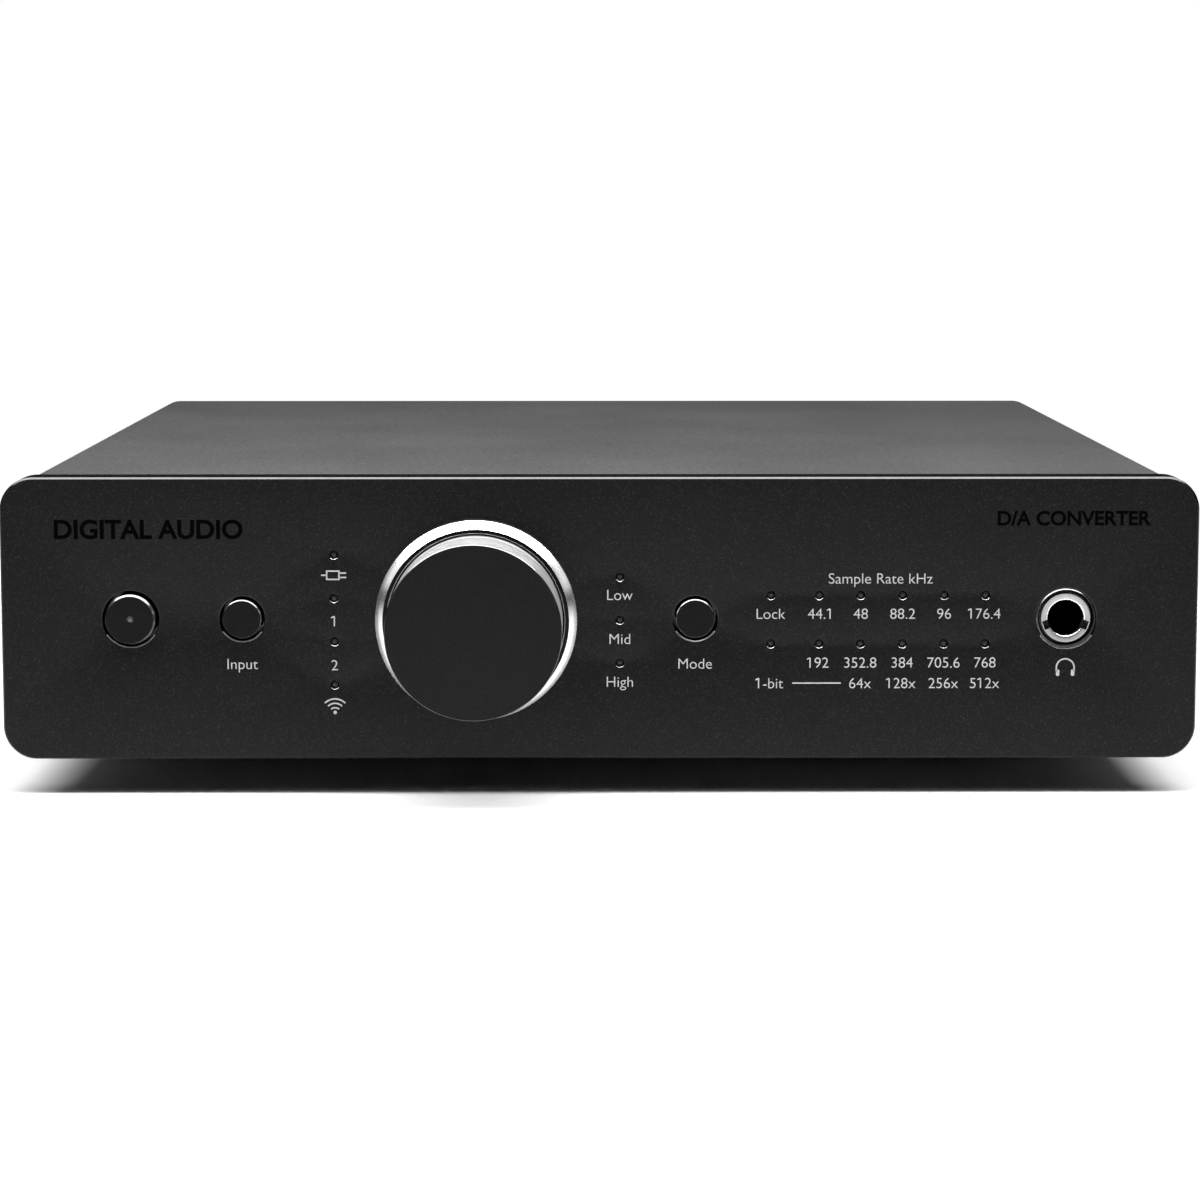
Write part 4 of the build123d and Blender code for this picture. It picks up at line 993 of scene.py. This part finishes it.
def add_xlr():
    out = xlr.high.y - rear.high.y
    tail_w, floor_w = -16.0, out - 15.0
    shell = Piece("xlr_sockets_shell", "nickel", "black_plastic")
    pins = Piece("xlr_pins_rounded", "gold")
    screws = Piece("xlr_screws_headed", "black_steel")
    outline, bore = rounded(0, 0, *XLR_PLATE, 3), circle(0, 0, 8.3, 96)
    turns = [radians(30 + 120 * i) for i in range(3)]
    contacts = [(4.8 * cos(a), 4.8 * sin(a)) for a in turns]
    for x in XLR_X:
        shell.at(x, rear.high.y, mid_z, "rear")
        stations = ((0.0, 0.0), (0.0, out - 0.5), (0.25, out - 0.12), (0.5, out))
        plate = [shell.ring(outline(inset), w) for inset, w in stations]
        body, tail = (shell.ring(circle(0, 0, XLR_BODY, 96)(), w) for w in (0.0, tail_w))
        lip, throat = shell.ring(bore(-0.4), out), shell.ring(bore(0.0), out - 0.4)
        floor = shell.ring(bore(0.0), floor_w)
        shell.skin(plate)
        shell.strip(body, tail)
        shell.strip(lip, throat)
        shell.strip(throat, floor, 1)
        u, v = XLR_SCREW
        screw_holes = [circle(-side * u, side * v, SCREW_R, 24) for side in (-1, 1)]
        rims, backs = shell.through(screw_holes, out, 0.0)
        pin_holes = [circle(-u, v, 1.2, 32) for u, v in contacts]
        pin_rims, pin_backs = shell.through(pin_holes, floor_w, tail_w, 1)
        shell.fill([floor] + pin_rims, 1)
        shell.fill([tail] + pin_backs, 1)
        shell.fill([plate[-1], lip] + rims)
        shell.fill([plate[0], body] + backs)
        for u, v in contacts:
            pins.at(x + u, rear.high.y, mid_z + v, "rear")
            tip = smooth_edge(out - 1.2, 1.2, 0.7, 6)
            pins.lathe([(out - 19.2, 0), (out - 19.2, 1.2)] + tip + [(out - 1.2, 0)], 32)
    for x, z in XLR_SCREWS:
        add_screw(screws.at(x, xlr.high.y, z, "rear"), 2.75, SCREW_R, 7.0)
    shell.done("socket_nickel", "xlr_sockets")
    pins.done("gold_plate", "xlr_pins")
    screws.done("screw_black", "xlr_screws")


def add_phono():
    """Gilt barrels with nuts, round insulators in each channel's or input's colour."""
    out = Box("phono_sockets").high.y - rear.high.y
    barrel = Piece("phono_sockets_barrels", "gold")
    looks = ("white_plastic", "red_plastic", "orange_plastic", "gold")
    rings = Piece("phono_insulators_coloured", *looks)
    wall = [(2.0, 4.15), (out - 0.4, 4.15), (out - 0.1, 4.0), (out, 3.8), (out, 3.45)]
    wall += [(out - 0.15, 3.3), (-2.5, 3.3), (-10.5, 3.3)]
    wall += [(w, PHONO_BODY) for w in (-10.5, 0.0, 2.0)]
    face = out - 0.6
    contact = [(face - 0.2, 3.3), (face, 3.1), (face, 1.95), (face - 0.3, 1.65)]
    contact += [(face - 9.0, 1.65), (face - 9.0, 0)]
    for (x, z), colour in zip(PHONO, (0, 1, 2, 2)):
        barrel.at(x, rear.high.y, z, "rear")
        barrel.prism(hexagon(11.0), 2.0, 0.0, edge=0.3, holes=[(circle(0, 0, 4.1, 64), 0.0)])
        barrel.lathe(wall, 72, closed=True)
        rings.at(x, rear.high.y, z, "rear")
        rings.lathe(contact, 72, [colour, colour, colour, 3, 3])
        rings.lathe([(face - 0.2, 3.3), (-2.5, 3.3), (-2.5, 0)], 72, [colour, colour])
    barrel.done("gold_plate", "phono_sockets")
    rings.done("phono_plastic", "phono_insulators")


def add_optical(number, x):
    box = Box(f"optical_socket_{number}")
    piece = Piece(f"optical_socket_{number}_housing", "black_plastic", "grey_plastic")
    piece.at(x, box.high.y, box.mid.z, "rear")
    outer, mouth = rounded(0, 0, 10.0, 10.0, 0.5, 6), rounded(0, 0, 7.4, 7.4, 0.4, 6)
    floor = piece.block(outer, mouth, box.size.y, 10.0, 0.3, 0.3)
    rim, end = (piece.ring(circle(0, 0, 1.1, 32)(), w) for w in (-10.0, -12.0))
    piece.strip(rim, end, 1)
    piece.fill([end], 1)
    piece.fill([floor, rim], 1)
    piece.done("moulded_black", f"optical_socket_{number}")

    flap = Box(f"optical_shutter_{number}")
    shutter = Piece(f"optical_shutter_{number}_flap", "grey_plastic")
    shutter.at(x, flap.mid.y, 0, "rear")
    low, high = flap.low.z, flap.high.z - 0.6
    mid, h = (low + high) / 2, high - low
    shutter.prism(rounded(0, mid, 6.8, h, 0.2, 4), 0.3, -0.3, edge=0.06)
    frame_out = rounded(0, mid, 5.4, h - 1.4, 0.4, 6)
    frame_in = rounded(0, mid, 4.4, h - 2.4, 0.3, 6)
    shutter.prism(frame_out, 0.45, 0.3, edge=0.08, holes=[(frame_in, 0.0)])
    # Its pivot's barrel and, thinner and longer, its pins
    for half, radius in ((3.4, 0.6), (4.3, 0.45)):
        round_bar = circle(flap.mid.y, high, radius, 24)()
        ends = []
        for along in (x - half, x + half):
            spots = [Vector((along, y, z)) * MM for y, z in round_bar]
            ends.append([shutter.bm.verts.new(spot) for spot in spots])
        shutter.strip(*ends)
        for end in ends:
            shutter.face(end)
    shutter.done("shutter_plastic", f"optical_shutter_{number}", body=f"shutter_{number}")


def add_usb():
    spot = usb.mid
    piece = Piece("usb_socket_shell", "nickel", "white_plastic")
    piece.at(spot.x, usb.high.y, spot.z, "rear")
    corners = [(-4.45, -4.1), (4.45, -4.1), (4.45, 2.4), (2.75, 4.1), (-2.75, 4.1), (-4.45, 2.4)]
    floor = piece.block(rounded(0, 0, 12.0, 11.0, 0.35, 4), polygon(corners), 17.0, 12.0, 0.15, 0.2)
    piece.fill([floor], 1)
    piece.done("socket_nickel", "usb_socket")

    tongue = Piece("usb_tongue_contacts", "white_plastic", "gold")
    tongue.at(spot.x, usb.high.y, spot.z, "rear")
    tongue.prism(rounded(0, 0, 5.6, 3.2, 0.3, 4), -1.7, -12.0, edge=0.3)
    for u in (-1.25, 1.25):
        for v in (-1.576, 1.576):
            tongue.prism(rounded(u, v, 1.0, 0.12, 0.02, 2), -2.6, -11.0, 1)
    tongue.done("usb_plastic", "usb_tongue")


def add_dc():
    spot = dc.mid
    piece = Piece("dc_inlet_housing", "black_plastic").at(spot.x, dc.high.y, spot.z, "rear")
    outer, mouth = rounded(0, 0, 9.0, 11.0, 0.4, 4), circle(0, 0, 3.1, 64)
    piece.fill([piece.block(outer, mouth, 14.0, 10.0, 0.2, 0.3)])
    piece.done("moulded_black", "dc_inlet")

    pin = Piece("dc_pin_rounded", "nickel").at(spot.x, dc.high.y, spot.z, "rear")
    tip = smooth_edge(-0.8, 1.0, 0.5, 6)
    base = [(-10.0, 1.0), (-10.0, 1.3), (-12.0, 1.3), (-12.0, 0)]
    pin.lathe([(-0.8, 0)] + tip[::-1] + base, 40)
    pin.done("socket_nickel", "dc_pin")


def add_antenna():
    out = antenna.high.y - rear.high.y
    piece = Piece("antenna_socket_threaded", "gold", "white_plastic")
    piece.at(antenna.mid.x, rear.high.y, mid_z, "rear")
    bore = circle(0, 0, ANTENNA_BODY, 64)
    piece.prism(hexagon(8.0), 2.0, 0.0, edge=0.25, holes=[(bore, 0.0)])
    pitch, crest, root = 0.7, 3.175, 2.85
    profile = [(w, ANTENNA_BODY) for w in (-8.0, 0.0, 2.0)] + [(2.0, root)]
    w = 2.2
    while w < out - 0.9:
        profile += [(w, root), (w + pitch * 0.45, crest), (w + pitch * 0.55, crest)]
        w += pitch
    profile += [(out - 0.45, root), (out - 0.3, 2.95), (out, 2.75), (out, 2.3)]
    # The insulator's face, then the hole for the plug's pin
    profile += [(out - 0.25, 2.2), (out - 0.25, 0.75), (out - 0.35, 0.65)]
    profile += [(out - 6.0, 0.65), (out - 6.0, 0.0)]
    piece.lathe(profile, 64, [0] * (len(profile) - 5) + [1, 1, 0, 0])
    piece.lathe([(-8.0, ANTENNA_BODY), (-8.0, 0.0)], 64)
    piece.done("gold_plate", "antenna_socket")


# ---- nodes that keep their CAD shape
KEPT = {
    "zinc": ("chassis_tray", "front_panel_screws", "board_screws", "encoder_shaft", "encoder_nut"),
    "nickel": ("board_standoffs", "control_board_pillars", "jack_springs"),
    "board": ("main_board", "control_board"),
    "cable": ("ribbon_cable",),
    "can": ("clock_crystals", "wireless_module", "encoder_body"),
    "relay": ("muting_relays",),
    "dark_metal": ("power_inductors",),
    "film_red": ("film_capacitors",),
    "can_sleeve": ("power_capacitors",),
    "sink": ("heat_sink",),
    "white_plastic": ("indicator_leds",),
    "black_plastic": (
        "ribbon_headers", "dac_chips", "usb_receiver_chip", "regulators", "power_plunger",
        "source_plunger", "filter_plunger", "tact_switches", "headphone_jack",
    ),
}


def paint_kept():
    for look, nodes in KEPT.items():
        for node in nodes:
            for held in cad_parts[node].material_slots:
                held.material = MAT[look]


# ---- studio
FLOOR_REACH, FLOOR_Z = 1800, -0.02
FADE_FROM, FADE_TO = 0.19, 0.32  # metres from the middle, where the floor turns plain white
ROOM_LOW, ROOM_HIGH = 0.0, 0.22  # strength of the room's light, low down and above
ROOM_FROM, ROOM_TO = 0.6, 1.0  # sine of the elevation
# Softboxes: name, place, aim, width and height in metres, and power in watts
SOFTBOXES = (
    ("overhead", (-0.05, -0.165, 0.50), (-0.05, -0.165, 0), 1.2, 0.18, 13.2),
    ("side", (-0.7, -0.17, 0.47), (0, -0.17, 0.47), 0.22, 0.6, 0.5),
    ("side", (0.7, -0.17, 0.47), (0, -0.17, 0.47), 0.22, 0.6, 0.5),
    ("front", (0, -0.50, 0.80), (0, -0.08, 0.03), 0.8, 0.3, 0.8),
)


def add_floor():
    """Pale paper floor that turns to plain white away from the object, for want of a horizon."""
    n = Nodes("floor_paper")
    n.set(
        base_color=n.tints(n.noise(40, 3), grey(0.64), grey(0.67)),
        roughness=0.85,
        specular_ior_level=0.03,
        normal=n.bump(n.noise(900, 2), 0.02, 0.3),
    )
    away = n.add("ShaderNodeVectorMath", {0: n.coords}, operation="LENGTH").outputs["Value"]
    far = n.span(away, 0.0, 1.0, FADE_FROM, FADE_TO)
    white = n.add("ShaderNodeEmission", {"Color": (1, 1, 1, 1), "Strength": 1.0})
    blend = n.add("ShaderNodeMixShader", {0: far, 1: n.shader.outputs[0], 2: white.outputs[0]})
    n.put(n.tree.nodes["Material Output"].inputs["Surface"], blend.outputs[0])
    bm = bmesh.new()
    square = ((-1, -1), (1, -1), (1, 1), (-1, 1))
    corners = [Vector((x * FLOOR_REACH, y * FLOOR_REACH, FLOOR_Z)) * MM for x, y in square]
    bm.faces.new([bm.verts.new(corner) for corner in corners])
    mesh = bpy.data.meshes.new("floor")
    bm.to_mesh(mesh)
    bm.free()
    mesh.materials.append(n.owner)
    floor = bpy.data.objects.new("floor", mesh)
    bpy.context.scene.collection.objects.link(floor)


def add_world():
    """White behind the object; for light and reflections a soft room, dark low down."""
    n = Nodes("studio", bpy.data.worlds, "Generated")
    n.tree.nodes.remove(n.tree.nodes["Background"])
    parts = n.add("ShaderNodeSeparateXYZ", {"Vector": n.coords})
    inputs = {"Value": parts.outputs["Z"], "From Min": ROOM_FROM, "From Max": ROOM_TO}
    inputs.update({"To Min": ROOM_LOW, "To Max": ROOM_HIGH})
    lift = n.add("ShaderNodeMapRange", inputs, interpolation_type="SMOOTHSTEP")
    room = n.add("ShaderNodeBackground", {"Strength": lift.outputs[0]})
    plain = n.add("ShaderNodeBackground", {"Strength": 1.0, "Color": (1, 1, 1, 1)})
    seen = n.add("ShaderNodeLightPath").outputs["Is Camera Ray"]
    mix = n.add("ShaderNodeMixShader", {0: seen, 1: room.outputs[0], 2: plain.outputs[0]})
    n.put(n.tree.nodes["World Output"].inputs["Surface"], mix.outputs[0])
    bpy.context.scene.world = n.owner


def add_softbox(name, spot, aim, width, height, power_w):
    data = bpy.data.lights.new(name, "AREA")
    data.shape = "RECTANGLE"
    data.size, data.size_y = width, height
    data.energy = power_w
    light = bpy.data.objects.new(name, data)
    light.location = spot
    light.rotation_euler = (Vector(aim) - Vector(spot)).to_track_quat("-Z", "Y").to_euler()
    light.visible_camera = False
    bpy.context.scene.collection.objects.link(light)


def add_studio():
    add_floor()
    add_world()
    for softbox in SOFTBOXES:
        add_softbox(*softbox)
    bpy.context.scene.view_settings.view_transform = "Standard"


# ---- all together
add_panel()
add_sleeve()
add_feet()
add_ring()
add_knob()
add_buttons()
add_all_lights()
add_headphone_socket()
add_legends()
add_rear_panel()
add_rear_legends()
add_xlr()
add_phono()
for number, x in enumerate(OPTICAL_X, 1):
    add_optical(number, x)
add_usb()
add_dc()
add_antenna()
paint_kept()
add_studio()
